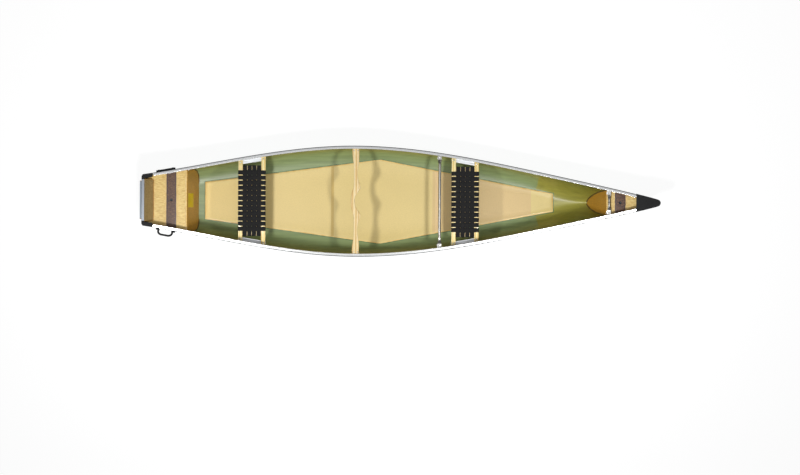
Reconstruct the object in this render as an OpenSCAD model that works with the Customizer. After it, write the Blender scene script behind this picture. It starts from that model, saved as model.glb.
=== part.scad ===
// Square-stern touring canoe: moulded laminate hull with a foam-core floor, two
// flotation tanks, aluminium gunwales, two webbing seats, a carved yoke and a
// wooden motor pad on the transom.
// Frame: +X towards the bow, +Y to port, +Z up, in millimetres. The origin is the
// middle of the overall length, on the centreline, at the hull's lowest face.
// A station is a share of the overall length, counted from the stern.

/* [Hull] */
// Overall length, from the motor pad to the bow plate
loa = 4572; // [3800:1:5500]
// Half of the hull's greatest breadth, without gunwales
half_beam = 476; // [390:1:580]
// Station of the greatest breadth
widest_station = 0.413; // [0.38:0.005:0.48]
// Half-breadth of the hull at the transom
transom_half = 212; // [175:1:260]
// How fast the hull narrows as it reaches the transom
quarter_slope = 0.151; // [0.05:0.01:0.25]
// How fast the hull narrows as it reaches the stem
entry_slope = 0.215; // [0.15:0.01:0.3]
// Radius of the rounded stem
stem_r = 10; // [6:1:16]
// Height of the gunwales at their lowest point
depth = 388; // [320:1:470]
// Station of the gunwales' lowest point
low_station = 0.557; // [0.48:0.005:0.62]
// Rise of the gunwales from there to the bow
bow_rise = 121; // [60:1:160]
// Rise of the gunwales from there to the transom
stern_rise = 95; // [50:1:130]
// Rise of the keel line at each end
rocker = 13; // [0:1:25]
// Fullness of the section amidships, where 1 is a half round
mid_fullness = 0.4; // [0.35:0.01:0.55]
// Fullness of the section at the stem, where more than 1 is a V
bow_fullness = 1.55; // [0.9:0.01:1.8]
// How much fuller the gunwale line is towards the bow than a plain curve
bow_swell = 450; // [0:10:600]
// Thickness of the laminate
laminate = 3; // [2:0.5:5]

/* [Ends] */
// Lean of the stem over its height
stem_rake = 158; // [60:1:220]
// Length of the forefoot's curve
forefoot_len = 278; // [180:1:320]
// Aft lean of the transom per unit of height
transom_rake = 0.114; // [0:0.01:0.2]
// Radius of the transom's side corners
corner_side = 25; // [15:1:35]
// Length of the transom's bottom corner
corner_len = 105; // [60:1:120]
// Height of the transom's bottom corner
corner_rise = 72; // [40:1:90]
// Width and height of the motor pad
pad_size = [338, 162]; // [250:1:380]
// Thickness of the motor pad
pad_t = 18; // [12:1:25]
// Distance of the motor pad's top below the transom's top
pad_drop = 12; // [8:1:30]
// Width of the aluminium cap on the transom
cap_w = 23; // [18:1:30]
// Length of the black corner caps
corner_cap_len = 97; // [60:1:120]
// Length of the bow plate
deck_len = 216; // [150:1:280]
// Length and height of the bow plate's skirt
deck_skirt = [163, 38]; // [30:1:180]

/* [Gunwales] */
// Reach of the gunwale outside the hull
rail_out = 12; // [9:1:16]
// Reach of the gunwale inside the hull
rail_in = 16; // [13:1:20]
// Height of the gunwale's outer flange
rail_h = 33; // [28:1:40]
// Wall of the gunwale extrusion
rail_t = 2.6; // [2:0.1:3.5]
// Stations of the gunwale rivets between the seats' own
rivet_stations = [0.106, 0.151, 0.307, 0.36, 0.43, 0.468, 0.521, 0.573, 0.722, 0.77, 0.815, 0.862, 0.905, 0.947]; // [0.1:0.001:0.95]
// Spacing of the three rivets that hold each seat hanger
rivet_pitch = 103; // [80:1:110]

/* [Floor and tanks] */
// Stations of the floor panel's aft end, widest place and fore end
core_stations = [0.1225, 0.461, 0.7954]; // [0.1:0.0005:0.85]
// Half-widths of the floor panel at those places
core_half = [165, 372, 80]; // [50:1:420]
// Thickness of the floor panel
core_t = 6; // [4:1:10]
// Chamfer round the floor panel
core_edge = 9; // [4:1:14]
// Length of the stern tank's top, from the motor pad
stern_tank_len = 413; // [330:1:520]
// Depth of the stern tank's top below the transom's top
stern_tank_drop = 150; // [110:1:190]
// Forward run of the stern tank's sloping front
stern_tank_run = 92; // [40:1:160]
// Length of the bow tank's top, from the bow plate's tip
bow_tank_len = 477; // [380:1:580]
// Depth of the bow tank's top below the gunwale at its edge
bow_tank_drop = 72; // [55:1:100]
// Aft run of the bow tank's sloping face
bow_tank_run = 160; // [100:1:200]
// Thickness of the tank covers
tank_t = 3; // [2:0.5:4]
// Widths of the stern band and the bow band
band_w = [86, 94]; // [60:1:110]
// Distances of the bands' middles from the ends of the hull
band_from_end = [272, 353]; // [200:1:420]
// Thickness of the bands
band_t = 1.2; // [0.8:0.1:2]
// Diameters of a vent plug's head and shank
plug_d = [25, 19]; // [12:1:32]

/* [Seats] */
// Stations of the stern seat and the bow seat
seat_stations = [0.2142, 0.6248]; // [0.18:0.001:0.7]
// Spacing of the two rails of a seat, middle to middle
rail_gap = 202; // [160:1:240]
// Width and thickness of the seat's ash bars
bar = [38, 19]; // [15:1:45]
// Depths of the seats' tops below the gunwales beside them
seat_drop = [118, 112]; // [80:1:150]
// Distance between the outer edges of a seat's cross rails
seat_w = 618; // [480:1:640]
// Width and thickness of the webbing
web = [38, 1.5]; // [1:0.1:45]
// Number of lengthwise and of crosswise webbing strips
web_n = [12, 4]; // [3:1:14]
// Width of the flanges of the aluminium hangers
hanger_w = 42; // [34:1:50]
// Thickness of the aluminium hangers
hanger_t = 3; // [2:0.5:4]
// Diameter of the carriage bolts
bolt_d = 6; // [5:1:8]

/* [Yoke, thwart and bow handle] */
// Station of the yoke
yoke_station = 0.4146; // [0.38:0.001:0.46]
// Thickness of the yoke
yoke_t = 20; // [16:1:26]
// Station of the thwart
thwart_station = 0.5756; // [0.54:0.001:0.6]
// Outer diameter and wall of the thwart tube
thwart_tube = [25, 1.6]; // [1:0.1:32]
// Distance of the bow handle from the bow plate's tip
bow_handle_from_end = 451; // [400:1:520]
// Outer diameter and wall of the bow handle tube
bow_handle_tube = [22, 1.6]; // [1:0.1:28]

/* [Stern carry handles] */
// Distance of the carry handles from the motor pad
grip_from_end = 229; // [200:1:300]
// Length of a carry handle between the middles of its arms
grip_len = 124; // [100:1:150]
// Reach of a carry handle from its hinge
grip_reach = 52; // [45:1:62]
// Thickness of a carry handle
grip_d = 18; // [12:1:20]
// How far below level the starboard handle stands out
starboard_angle = 34; // [0:1:80]
// Diameter of the hinge pins
pin_d = 7; // [5:0.5:8]
// Radial clearance of the hinge pins
pin_fit = 0.05; // [0.02:0.01:0.1]

/* [Hidden] */
bond = 0.85; // gap that the resin fills between moulded pieces
touch = 0.3; // clearance between pieces that are fastened together
wall_gap = 0.5; // clearance between the hangers and the hull's curved wall
n_side = 12; // facets round half a section
n_stations = 40; // facets along the hull
flat_share = 0.004; // share of the height that is planed off for the flat bottom
forefoot_h = 0.36; // share of the height that the forefoot's curve takes
forefoot_k = 2.7; // squareness of the forefoot's curve
bow_blend = 780; // length over which the sections lean into the stem
stern_blend = 425; // length over which the sections lean into the transom
transom_t = 5; // thickness of the transom's laminate
stem_wall = 17; // depth of the solid stem
rake_a = atan(transom_rake);
grip_a = 20; // distance of the hinge axis outside the hull
grip_b = -26; // height of the hinge axis from the gunwale's top
lug_len = 13;
lug_gap = 0.6; // end play between a carry handle and its lugs
cap_t = 3; // wall of the black caps

bow_slope = 2 * bow_rise / (loa / 2 - station(low_station)); // of the gunwale at the tip
hull_fwd = loa / 2 - cap_t - touch - deck_skirt[1] * bow_slope;
hull_aft = -loa / 2 + (pad_t + touch) * cos(rake_a) - transom_rake * pad_drop;
widest_x = station(widest_station);
low_x = station(low_station);
flat_aft = station(0.163);
flat_fore = station(0.807);
keel_end = hull_fwd - stem_rake - forefoot_len;
transom_top = depth + stern_rise;
rim_drop = rail_t + 0.4; // the hull's edge lies this far below the gunwale's top
first_x = hull_aft + corner_side;
last_x = hull_fwd - stem_r;
first_in = hull_aft + transom_t + corner_side;
last_in = hull_fwd - stem_wall - stem_r;
stern_tank_z = transom_top - stern_tank_drop;
bow_tank_x = loa / 2 - bow_tank_len;
bow_tank_z = sheer(bow_tank_x) - bow_tank_drop;
stern_tank_x = -loa / 2 + stern_tank_len;
knee_x = hull_aft + corner_cap_len;
gunwale_x0 = knee_x + touch + rail_out * 0.25;
gunwale_x1 = loa / 2 - deck_skirt[0] - touch - rail_out * 0.28;
pitch = (last_x - first_x) / n_stations;

// ---- The hull's lines ------------------------------------------------------

function station(s) = -loa / 2 + s * loa;

function hermite(t, p0, p1, m1) =
  p0 * (2 * pow(t, 3) - 3 * t * t + 1) + p1 * (3 * t * t - 2 * pow(t, 3))
  + m1 * (pow(t, 3) - t * t);

function swell(t) = bow_swell * pow(t, 3) * (1 - t) * (t - 0.63);
// Half-breadth of the hull's outside at gunwale height
function half_at(x) =
  let (fore = hull_fwd - widest_x, aft = widest_x - hull_aft)
  x > widest_x
    ? hermite((x - widest_x) / fore, half_beam, stem_r, -entry_slope * fore) + swell((x - widest_x) / fore)
    : hermite((widest_x - x) / aft, half_beam, transom_half, -quarter_slope * aft);

// Height of the gunwale's top
function sheer(x) =
  x > low_x
    ? depth + bow_rise * pow((x - low_x) / (hull_fwd - low_x), 2)
    : depth + stern_rise * pow(min(1, (low_x - x) / (low_x - hull_aft)), 2.3);

// Height of the keel line
function keel(x) =
  x > flat_fore ? rocker * pow((x - flat_fore) / (keel_end - flat_fore), 2)
  : x < flat_aft ? rocker * pow((flat_aft - x) / (flat_aft - first_x), 2)
  : 0;

function ease(t) = let (s = min(1, max(0, t))) s * s * (3 - 2 * s);

// Fullness of the section
function fullness(x) =
  let (
    early = ease((x - station(0.58)) / (hull_fwd - station(0.58))),
    late = ease((x - station(0.74)) / (station(0.9) - station(0.74)))
  )
  mid_fullness + (bow_fullness - mid_fullness) * (0.3 * early + 0.7 * late);

// How far aft of the stem's top the stem lies at a share h of its height
function stem_shift(h) =
  let (s = 1 - min(1, h / forefoot_h))
  -stem_rake * (1 - h) - forefoot_len * (1 - pow(1 - pow(s, forefoot_k), 1 / forefoot_k));

function corner_reach(h) = corner_side + (corner_len - corner_side) * pow(1 - h, 5);

function bow_share(x) = pow(max(0, x - last_x + bow_blend) / bow_blend, 1.5);
function stern_share(x) = pow(max(0, first_x + stern_blend - x) / stern_blend, 1.5);

// One ring of points from the keel to the port gunwale. Rounding closes the ring
// in towards the transom and nose towards the stem, both as angles. With inside
// set, it is a ring of the hull's inner face.
function ring(x, rounding = 0, nose = 0, inside = false) =
  let (
    t = inside ? laminate : 0,
    e = fullness(x),
    half = (half_at(x) - t - corner_side * (1 - cos(rounding))) * cos(nose),
    top = sheer(x) - rim_drop,
    bow = bow_share(x),
    aft = stern_share(x),
    low = keel(min(keel_end, x + bow * stem_shift(0))) + t + corner_rise * (1 - cos(rounding)),
    tip = (stem_r - t) * sin(nose) * 0.9
  )
  [for (j = [0 : n_side])
    let (
      a = 90 * j / n_side,
      h = max(0, 1 - pow(cos(a), e) - flat_share) / (1 - flat_share),
      z = low + (top - low) * h,
      lean = transom_rake * (transom_top - z) + corner_reach(h) - corner_side,
      back = corner_reach(h) * sin(rounding)
    )
    [x + tip + bow * stem_shift(h) + aft * lean - back, half * pow(sin(a), e), z]];

function mirror_y(points) = [for (p = points) [p[0], -p[1], p[2]]];
function reversed(list) = [for (i = [len(list) - 1 : -1 : 0]) list[i]];

// A whole ring: starboard gunwale, keel, port gunwale
function whole(points) =
  concat(reversed(mirror_y([for (j = [1 : n_side]) points[j]])), points);

function outer_x(i) = first_x + pitch * i;
function inner_x(i) = first_in + (last_in - first_in) * i / n_stations;

function skin(inside) = concat(
  [for (a = [90 : -18 : 18]) whole(ring(inside ? first_in : first_x, a, 0, inside))],
  [for (i = [0 : n_stations]) whole(ring(inside ? inner_x(i) : outer_x(i), 0, 0, inside))],
  [for (a = [30, 52, 72]) whole(ring(inside ? last_in : last_x, 0, a, inside))]);

// Half-breadth and x of the hull's inner face at a height, on the ring at x
function wall_y(x, z) = let (r = ring(x, inside = true)) lookup(z, [for (p = r) [p[2], p[1]]]);
function wall_x(x, z) = let (r = ring(x, inside = true)) lookup(z, [for (p = r) [p[2], p[0]]]);
// The ring whose inner face passes through x at height z
function ring_for(x, z, guess, n = 8) =
  n == 0 ? guess : ring_for(x, z, guess + x - wall_x(guess, z), n - 1);
// Half-breadth of the inner face at a true x and z
function inner_half(x, z) = wall_y(ring_for(x, z, x), z);
// Height of the inner face at a true x and a half-breadth y, low in the hull
function floor_z(x, y) =
  let (r = ring(ring_for(x, laminate + 2, x), inside = true)) lookup(y, [for (p = r) [p[1], p[2]]]);
// Height of the transom's outer face, as x
function transom_x(z) = hull_aft + transom_rake * (transom_top - z);

// ---- Helpers ---------------------------------------------------------------

// Two triangles across a quad, with the diagonal mirrored on the port side
function quad(a, b, c, d, flip) = flip ? [[a, b, c], [a, c, d]] : [[b, c, d], [b, d, a]];
function flat_list(lists) = [for (l = lists) for (v = l) v];

module hull_solid() {
  skins = [skin(false), skin(true)];
  rings = len(skins[0]);
  m = 2 * n_side + 1;
  function at(o, i, k) = (o * rings + i) * m + k;
  sides = flat_list([for (i = [0 : rings - 2]) for (k = [0 : m - 2])
    concat(
      quad(at(0, i, k), at(0, i + 1, k), at(0, i + 1, k + 1), at(0, i, k + 1), k >= n_side),
      quad(at(1, i, k), at(1, i, k + 1), at(1, i + 1, k + 1), at(1, i + 1, k), k >= n_side))]);
  rims = flat_list([for (i = [0 : rings - 2])
    concat(
      quad(at(0, i + 1, 0), at(0, i, 0), at(1, i, 0), at(1, i + 1, 0), true),
      quad(at(0, i, m - 1), at(0, i + 1, m - 1), at(1, i + 1, m - 1), at(1, i, m - 1), true))]);
  last = rings - 1;
  // Each end is closed by strips across it, and by three triangles round the keel
  strips = concat(
    flat_list([for (k = [0 : n_side - 3])
      let (a = k, b = k + 1, c = m - 2 - k, d = m - 1 - k) [[a, b, c], [a, c, d]]]),
    let (n = n_side) [[n - 2, n - 1, n], [n - 2, n, n + 2], [n, n + 1, n + 2]]);
  ends = flat_list([for (s = strips) [
    [at(0, 0, s[0]), at(0, 0, s[1]), at(0, 0, s[2])],
    [at(0, last, s[2]), at(0, last, s[1]), at(0, last, s[0])],
    [at(1, 0, s[2]), at(1, 0, s[1]), at(1, 0, s[0])],
    [at(1, last, s[0]), at(1, last, s[1]), at(1, last, s[2])]]]);
  caps = concat(
    quad(at(0, 0, 0), at(0, 0, m - 1), at(1, 0, m - 1), at(1, 0, 0), true),
    quad(at(0, last, m - 1), at(0, last, 0), at(1, last, 0), at(1, last, m - 1), true));
  polyhedron(points = flat_list(concat(skins[0], skins[1])), faces = concat(sides, rims, ends, caps));
}

// A band of paired outer and inner points, swept through rings of such points
module swept_band(rings, pairs) {
  n = 2 * pairs;
  count = len(rings);
  function at(i, k) = i * n + k % n;
  sides = flat_list([for (i = [0 : count - 2]) for (k = [0 : n - 1])
    quad(at(i, k), at(i, k + 1), at(i + 1, k + 1), at(i + 1, k), true)]);
  ends = flat_list([for (k = [0 : pairs - 2])
    concat(
      quad(at(0, n - 1 - k), at(0, n - 2 - k), at(0, k + 1), at(0, k), true),
      quad(at(count - 1, k), at(count - 1, k + 1), at(count - 1, n - 2 - k), at(count - 1, n - 1 - k), true))]);
  polyhedron(points = flat_list(rings), faces = concat(sides, ends));
}

module both_sides() {
  children();
  mirror([0, 1, 0]) children();
}

// Lays a profile drawn in Y and Z along the port wall, between two x at height z
module along_wall(x0, x1, z) {
  y0 = inner_half(x0, z);
  y1 = inner_half(x1, z);
  run = norm([x1 - x0, y1 - y0]);
  translate([x0, y0, 0])
    rotate([0, 0, atan2(y1 - y0, x1 - x0)])
      rotate([90, 0, 90])
        linear_extrude(run) children();
}

// Bent aluminium hanger on the port wall: a leg up the wall and a flange inboard,
// whose top is at z
module hanger(x, len, z) {
  foot = z - hanger_t;
  x0 = x - len / 2;
  x1 = x + len / 2;
  top = min(sheer(x0), sheer(x1)) - rim_drop - 4;
  lean = min(inner_half(x0, top) - inner_half(x0, foot), inner_half(x1, top) - inner_half(x1, foot));
  along_wall(x0, x1, foot)
    polygon([[-wall_gap, foot], [lean - wall_gap, top], [lean - wall_gap - hanger_t, top],
      [-wall_gap - hanger_t, z], [-wall_gap - hanger_w, z], [-wall_gap - hanger_w, foot]]);
}

// Where a bolt through a hanger's flange stands, at x on the port side
function bolt_y(x, z) = inner_half(x, z - hanger_t) - wall_gap - hanger_w + 15;

module carriage_bolt(len) {
  rotate_extrude($fn = 48)
    polygon([[0, 2.8], [2.4, 2.6], [5, 1.6], [6.6, 0], [bolt_d / 2, 0], [bolt_d / 2, -len], [0, -len]]);
}

module hex_nut(h) {
  difference() {
    cylinder(r = bolt_d * 0.95, h = h, $fn = 6);
    translate([0, 0, -1]) cylinder(r = bolt_d / 2, h = h + 2, $fn = 48);
  }
}

// A tube across the hull whose flattened ends lie on two hangers
tab = [30, 34, 4]; // length, width and thickness of a flattened end
module cross_tube(x, size, z) {
  end = inner_half(x, z) - touch - hanger_t - 6;
  half = end - tab[0];
  difference() {
    union() {
      translate([x, 0, z + size[0] / 2]) rotate([90, 0, 0]) cylinder(d = size[0], h = 2 * half, center = true, $fn = 64);
      both_sides() translate([x - tab[1] / 2, half - 8, z + touch]) cube([tab[1], tab[0] + 8, tab[2]]);
    }
    translate([x, 0, z + size[0] / 2]) rotate([90, 0, 0])
      cylinder(d = size[0] - 2 * size[1], h = 2 * half - 16, center = true, $fn = 64);
    both_sides() for (s = [-1, 1]) translate([x + s * tab[1] / 4, bolt_y(x, z), z - 1])
      cylinder(d = bolt_d * 0.7, h = tab[2] + 3, $fn = 40);
  }
}

module small_bracket(x, z) {
  difference() {
    hanger(x, tab[1] - 2, z);
    for (s = [-1, 1]) translate([x + s * tab[1] / 4, bolt_y(x, z), z - hanger_t - 1])
      cylinder(d = bolt_d * 0.7, h = hanger_t + 2, $fn = 40);
  }
}

module pan_screw(d, len) {
  rotate_extrude($fn = 40)
    polygon([[0, 2], [1.4, 1.9], [3.2, 1.2], [d, 0], [d / 2, 0], [d / 2, -len], [0, -len]]);
}

// Heights of the small brackets' flanges
thwart_z = sheer(station(thwart_station)) - 46;
yoke_z = sheer(station(yoke_station)) - 35;
bow_handle_x = loa / 2 - bow_handle_from_end;
bow_handle_z = sheer(bow_handle_x) - 36;

// ---- Hull, floor and tanks -------------------------------------------------

module hull_shell() color("#9fb5a6") hull_solid();

// Half-width of the floor panel at x
function core_at(x) =
  let (a = station(core_stations[0]), b = station(core_stations[1]), c = station(core_stations[2]))
  x < b ? core_half[0] + (core_half[1] - core_half[0]) * (x - a) / (b - a)
        : core_half[1] + (core_half[2] - core_half[1]) * (x - b) / (c - b);

core_steps = 26;
core_cuts = [1, 0.88, 0.76, 0.62, 0.4, 0];
function core_xs() = let (a = station(core_stations[0]), c = station(core_stations[2]))
  concat([for (i = [0 : core_steps]) a + (c - a) * i / core_steps]);
module floor_core() {
  across = concat([for (c = core_cuts) -c], [for (i = [len(core_cuts) - 2 : -1 : 0]) core_cuts[i]]);
  xs = core_xs();
  function row(x, inset, lift) = [for (c = across)
    let (y = c * (core_at(x) - inset)) [x + (x == xs[0] ? inset : x == xs[core_steps] ? -inset : 0), y,
      floor_z(x, abs(y)) + bond + lift]];
  // The outer points go to starboard along the top and back along the bottom
  rings = [for (x = xs) concat(row(x, core_edge, core_t), reversed(row(x, 0, 0)))];
  color("#d8bd84") swept_band(rings, len(across));
}

// Half-width that a flat plate at height z may have at x
function plate_half(x, z) = inner_half(x, z) - bond;

module tank_top(x0, x1, z, steps = 6) {
  xs = [for (i = [0 : steps]) x0 + (x1 - x0) * i / steps];
  translate([0, 0, z - tank_t]) linear_extrude(tank_t)
    polygon(concat([for (x = xs) [x, plate_half(x, z - tank_t)]],
      [for (x = reversed(xs)) [x, -plate_half(x, z - tank_t)]]));
}

// A sloping tank face whose outer surface runs from x0 at height z to x0 + run low
// in the hull; run is negative where the face slopes aft
module tank_face(x0, z, run, z_low, gap, steps = 9) {
  tilt = atan2(run, z - z_low);
  slope = norm([run, z - z_low]);
  shift = run > 0 ? -tank_t : 0;
  ss = [for (i = [0 : steps]) i / steps];
  function half(s) = inner_half(x0 + run * s + (run > 0 ? -tank_t : 0), z + (z_low - z) * s - 1) - gap;
  translate([x0, 0, z]) rotate([0, 90 - tilt, 0]) translate([0, 0, shift]) linear_extrude(tank_t)
    polygon(concat([for (s = ss) [slope * s, half(s)]], [for (s = reversed(ss)) [slope * s, -half(s)]]));
}

stern_tank_low = floor_z(stern_tank_x + stern_tank_run, 0) + 2;
bow_tank_low = floor_z(bow_tank_x - bow_tank_run, 0) + 2;
stern_band_x = -loa / 2 + band_from_end[0];
bow_band_x = loa / 2 - band_from_end[1];

module stern_tank_cover() color("#dcc187") difference() {
  union() {
    tank_top(first_x + 22, stern_tank_x, stern_tank_z);
    tank_face(stern_tank_x, stern_tank_z, stern_tank_run, stern_tank_low, bond);
  }
  translate([stern_band_x, 0, stern_tank_z - 10]) cylinder(d = plug_d[1] + 0.6, h = 20, $fn = 48);
}

module bow_tank_cover() color("#dcc187") difference() {
  union() {
    tank_top(bow_tank_x, loa / 2 - deck_skirt[0] + 20, bow_tank_z);
    tank_face(bow_tank_x, bow_tank_z, -bow_tank_run, bow_tank_low, 2 * bond);
  }
  translate([bow_band_x, 0, bow_tank_z - 10]) cylinder(d = plug_d[1] + 0.6, h = 20, $fn = 48);
}

// Foam block under a tank top: one section that fits its narrow end
module foam(x0, x1, z, narrow, gap) {
  r = ring(narrow, inside = true);
  pts = concat([for (p = r) if (p[2] < z - 30) [max(0, p[1] - gap), p[2] + gap]], [[inner_half(narrow, z - 30) - gap, z]]);
  translate([x0, 0, 0]) rotate([90, 0, 90]) linear_extrude(x1 - x0)
    polygon(concat(pts, [for (p = reversed(pts)) if (p[0] > 0) [-p[0], p[1]]]));
}

module stern_tank_foam() color("#efe9d6")
  foam(hull_aft + 150, stern_tank_x - 15, stern_tank_z - tank_t - touch, hull_aft + 150, 14);
module bow_tank_foam() color("#efe9d6")
  foam(bow_tank_x + 10, bow_tank_x + 130, bow_tank_z - tank_t - touch, bow_tank_x + 250, 26);

module tank_band(x, w, z) difference() {
  translate([0, 0, band_t]) {
    xs = [x - w / 2, x, x + w / 2];
    translate([0, 0, z - band_t]) linear_extrude(band_t)
      polygon(concat([for (v = xs) [v, plate_half(v, z) - 1]], [for (v = reversed(xs)) [v, 1 - plate_half(v, z)]]));
  }
  translate([x, 0, z - 5]) cylinder(d = plug_d[1] + 0.6, h = 10, $fn = 48);
}
module stern_tank_band() color("#5c4034") tank_band(stern_band_x, band_w[0], stern_tank_z);
module bow_tank_band() color("#5c4034") tank_band(bow_band_x, band_w[1], bow_tank_z);

module vent_plug(x, z) translate([x, 0, z + band_t]) rotate_extrude($fn = 64)
  polygon([[0, 2], [plug_d[0] / 2 - 3, 2.4], [plug_d[0] / 2 - 1, 1.8], [plug_d[0] / 2, 0.05],
    [plug_d[1] / 2, 0.05], [plug_d[1] / 2, -3.2], [plug_d[1] / 2 - 1, -3.9], [0, -3.9]]);
module stern_vent_plug() color("#1d2224") vent_plug(stern_band_x, stern_tank_z);
module bow_vent_plug() color("#1d2224") vent_plug(bow_band_x, bow_tank_z);

// A plain rectangular label on the stern tank's sloping front
label = [160, 122, 0.3];
module blank_label() color("#c9b21c") {
  tilt = atan2(stern_tank_run, stern_tank_z - stern_tank_low);
  translate([stern_tank_x, 0, stern_tank_z]) rotate([0, 90 - tilt, 0])
    translate([16, -label[1] / 2, 0.05]) cube(label);
}

// ---- Transom ---------------------------------------------------------------

knee_half = 182;
knee_top = transom_top - rim_drop - 3;
module transom_knee() color("#b99b62") {
  in = transom_t + touch;
  translate([0, knee_half, 0]) rotate([90, 0, 0]) linear_extrude(2 * knee_half)
    polygon([[transom_x(stern_tank_z + touch) + in, stern_tank_z + touch], [knee_x, stern_tank_z + touch],
      [hull_aft + cap_w - 3, knee_top], [transom_x(knee_top) + in, knee_top]]);
}

// Aluminium channel over the transom's edge
cap_half = 182;
cap_lip = 14;
module transom_cap() color("#a9b4bf") {
  x0 = hull_aft - 0.8;
  top = transom_top - rim_drop + touch + 2;
  translate([0, cap_half, 0]) rotate([90, 0, 0]) linear_extrude(2 * cap_half)
    polygon([[x0 - 1.6, top - 8], [x0 - 1.6, top - 1], [x0 - 0.6, top], [x0 + cap_w - 1, top], [x0 + cap_w, top - 1],
      [x0 + cap_w, top - 4], [x0 + cap_w - 1.6, top - 4], [x0 + cap_w - 1.6, top - 2], [x0, top - 2], [x0, top - 8]]);
}

// Moulded corner cap: a top plate with a rounded corner and an outer skirt
corner_cap_w = 36;
corner_cap_h = 40;
corner_cap_r = 22;
function corner_out(x) = half_at(x) + rail_out;
module corner_outline(inset) {
  out = corner_out(hull_aft + corner_side);
  slope = corner_out(knee_x) - out;
  r = corner_cap_r - inset;
  x0 = hull_aft - 1 + inset;
  arc = [for (a = [180 : -15 : 90]) [x0 + r + r * cos(a), out - inset - r + r * sin(a)]];
  polygon(concat([[x0, cap_half + touch]], arc, [[knee_x, out + slope - inset], [knee_x, out + slope - corner_cap_w]],
    [[hull_aft + cap_w, out - corner_cap_w]], [[hull_aft + cap_w, cap_half + touch]]));
}
module corner_cap() {
  fall = atan2(sheer(hull_aft) - sheer(knee_x), knee_x - hull_aft);
  translate([hull_aft, 0, transom_top]) rotate([0, fall, 0]) translate([-hull_aft, 0, 0]) {
    translate([0, 0, -rim_drop + touch + 1]) linear_extrude(cap_t) corner_outline(0);
    difference() {
      translate([0, 0, -corner_cap_h]) linear_extrude(corner_cap_h - rim_drop + touch + 2) corner_outline(0);
      translate([0, 0, -corner_cap_h - 1]) linear_extrude(corner_cap_h - rim_drop + touch + 2) corner_core();
    }
  }
}
// What the hull and the open inboard side take out of a corner cap
module corner_core() {
  out = corner_out(hull_aft + corner_side);
  slope = corner_out(knee_x) - out;
  r = corner_cap_r - 8;
  x0 = hull_aft - 0.4;
  arc = [for (a = [180 : -15 : 90]) [x0 + r + r * cos(a), out - 4 - r + r * sin(a)]];
  polygon(concat([[x0, -1]], arc, [[knee_x + 1, out + slope - 4], [knee_x + 1, -1]]));
}
module transom_corner_port() color("#22262b") corner_cap();
module transom_corner_starboard() color("#22262b") mirror([0, 1, 0]) corner_cap();

// Places its children on the transom's outer face: local X to port, Y up the face,
// Z straight out of it, with the origin at height z on the centreline
module on_transom(z) translate([transom_x(z), 0, z]) rotate([0, -rake_a, 0]) rotate([90, 0, -90]) children();

pad_r = 14;
pad_bevel = 22;
screw_inset = [26, 24];
module pad_blank(t) {
  w = pad_size[0];
  h = pad_size[1];
  translate([w / 2, 0, 0]) rotate([0, -90, 0]) linear_extrude(w)
    polygon([[0.01, 0], [t, 0], [t, -h + pad_bevel], [t * 0.35, -h], [0.01, -h]]);
}
module motor_pad() color("#c98a3a") on_transom(transom_top - pad_drop) translate([0, 0, touch]) difference() {
  intersection() {
    pad_blank(pad_t);
    translate([0, 0, -1]) linear_extrude(pad_t + 2) {
      w = pad_size[0] / 2;
      h = pad_size[1];
      low = [for (a = [0 : -15 : -90]) [w - pad_r + pad_r * cos(a), -h + pad_r + pad_r * sin(a)]];
      polygon(concat([[-w, 0], [w, 0]], low, [for (p = reversed(low)) [-p[0], p[1]]]));
    }
  }
  pad_screw_places() translate([0, 0, 3]) cylinder(d = 5.4, h = pad_t, $fn = 40);
  pad_screw_places() translate([0, 0, pad_t - 3.4]) cylinder(d = 11.6, h = 4, $fn = 48);
}
module pad_screw_places() {
  for (sx = [-1, 1]) for (y = [-screw_inset[1], -pad_size[1] + pad_bevel + screw_inset[1]])
    translate([sx * (pad_size[0] / 2 - screw_inset[0]), y, 0]) children();
}
module motor_pad_cap() color("#7c858c") on_transom(transom_top - pad_drop)
  translate([-pad_size[0] / 2 + 5, touch, touch]) cube([pad_size[0] - 10, 2.5, pad_t]);
module motor_pad_screws() color("#c8ccce") on_transom(transom_top - pad_drop) translate([0, 0, touch])
  pad_screw_places() rotate_extrude($fn = 48)
    polygon([[0, 3.3], [2.6, 3.3], [2.6, pad_t - 3.3], [5.7, pad_t - 3.3], [5.7, pad_t - 0.9],
      [4.6, pad_t - 0.3], [0, pad_t - 0.3]]);

// ---- Gunwales and bow plate ------------------------------------------------

rail_gap_out = 0.4;
// Outer and inner chains of the gunwale's section: distance outside the hull's
// face, and height from the gunwale's top
rail_outer = [[rail_gap_out + 3, -rail_h], [rail_gap_out + 3, -rail_h + 14], [rail_out - 3.5, -rail_h + 18],
  [rail_out, -9], [rail_out, -4], [rail_out - 4, 0], [2.5 - rail_in, 0], [-rail_in, -3.6], [-rail_in, -11]];
rail_inner = [[rail_gap_out, -rail_h], [rail_gap_out, -rail_h + 14], [rail_gap_out, -rail_h + 18],
  [rail_gap_out, -9], [rail_gap_out, -5], [rail_gap_out, -rail_t], [4 - rail_in, -rail_t], [2 - rail_in, -rail_t],
  [2 - rail_in, -11]];

// Outward direction in plan at x
function outward(x) = let (s = (half_at(x + 5) - half_at(x - 5)) / 10) [-s, 1] / norm([s, 1]);
function on_rail(x, p) = let (n = outward(x)) [x + n[0] * p[0], half_at(x) + n[1] * p[0], sheer(x) + p[1]];

module gunwale() {
  inner = [for (i = [0 : n_stations]) if (outer_x(i) > gunwale_x0 + 20 && outer_x(i) < gunwale_x1 - 20) outer_x(i)];
  xs = concat([gunwale_x0], inner, [gunwale_x1]);
  profile = concat(rail_outer, reversed(rail_inner));
  swept_band([for (x = xs) [for (p = profile) on_rail(x, p)]], len(rail_outer));
}
module gunwale_port() color("#c9cdd2") gunwale();
module gunwale_starboard() color("#c9cdd2") mirror([0, 1, 0]) gunwale();

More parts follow.
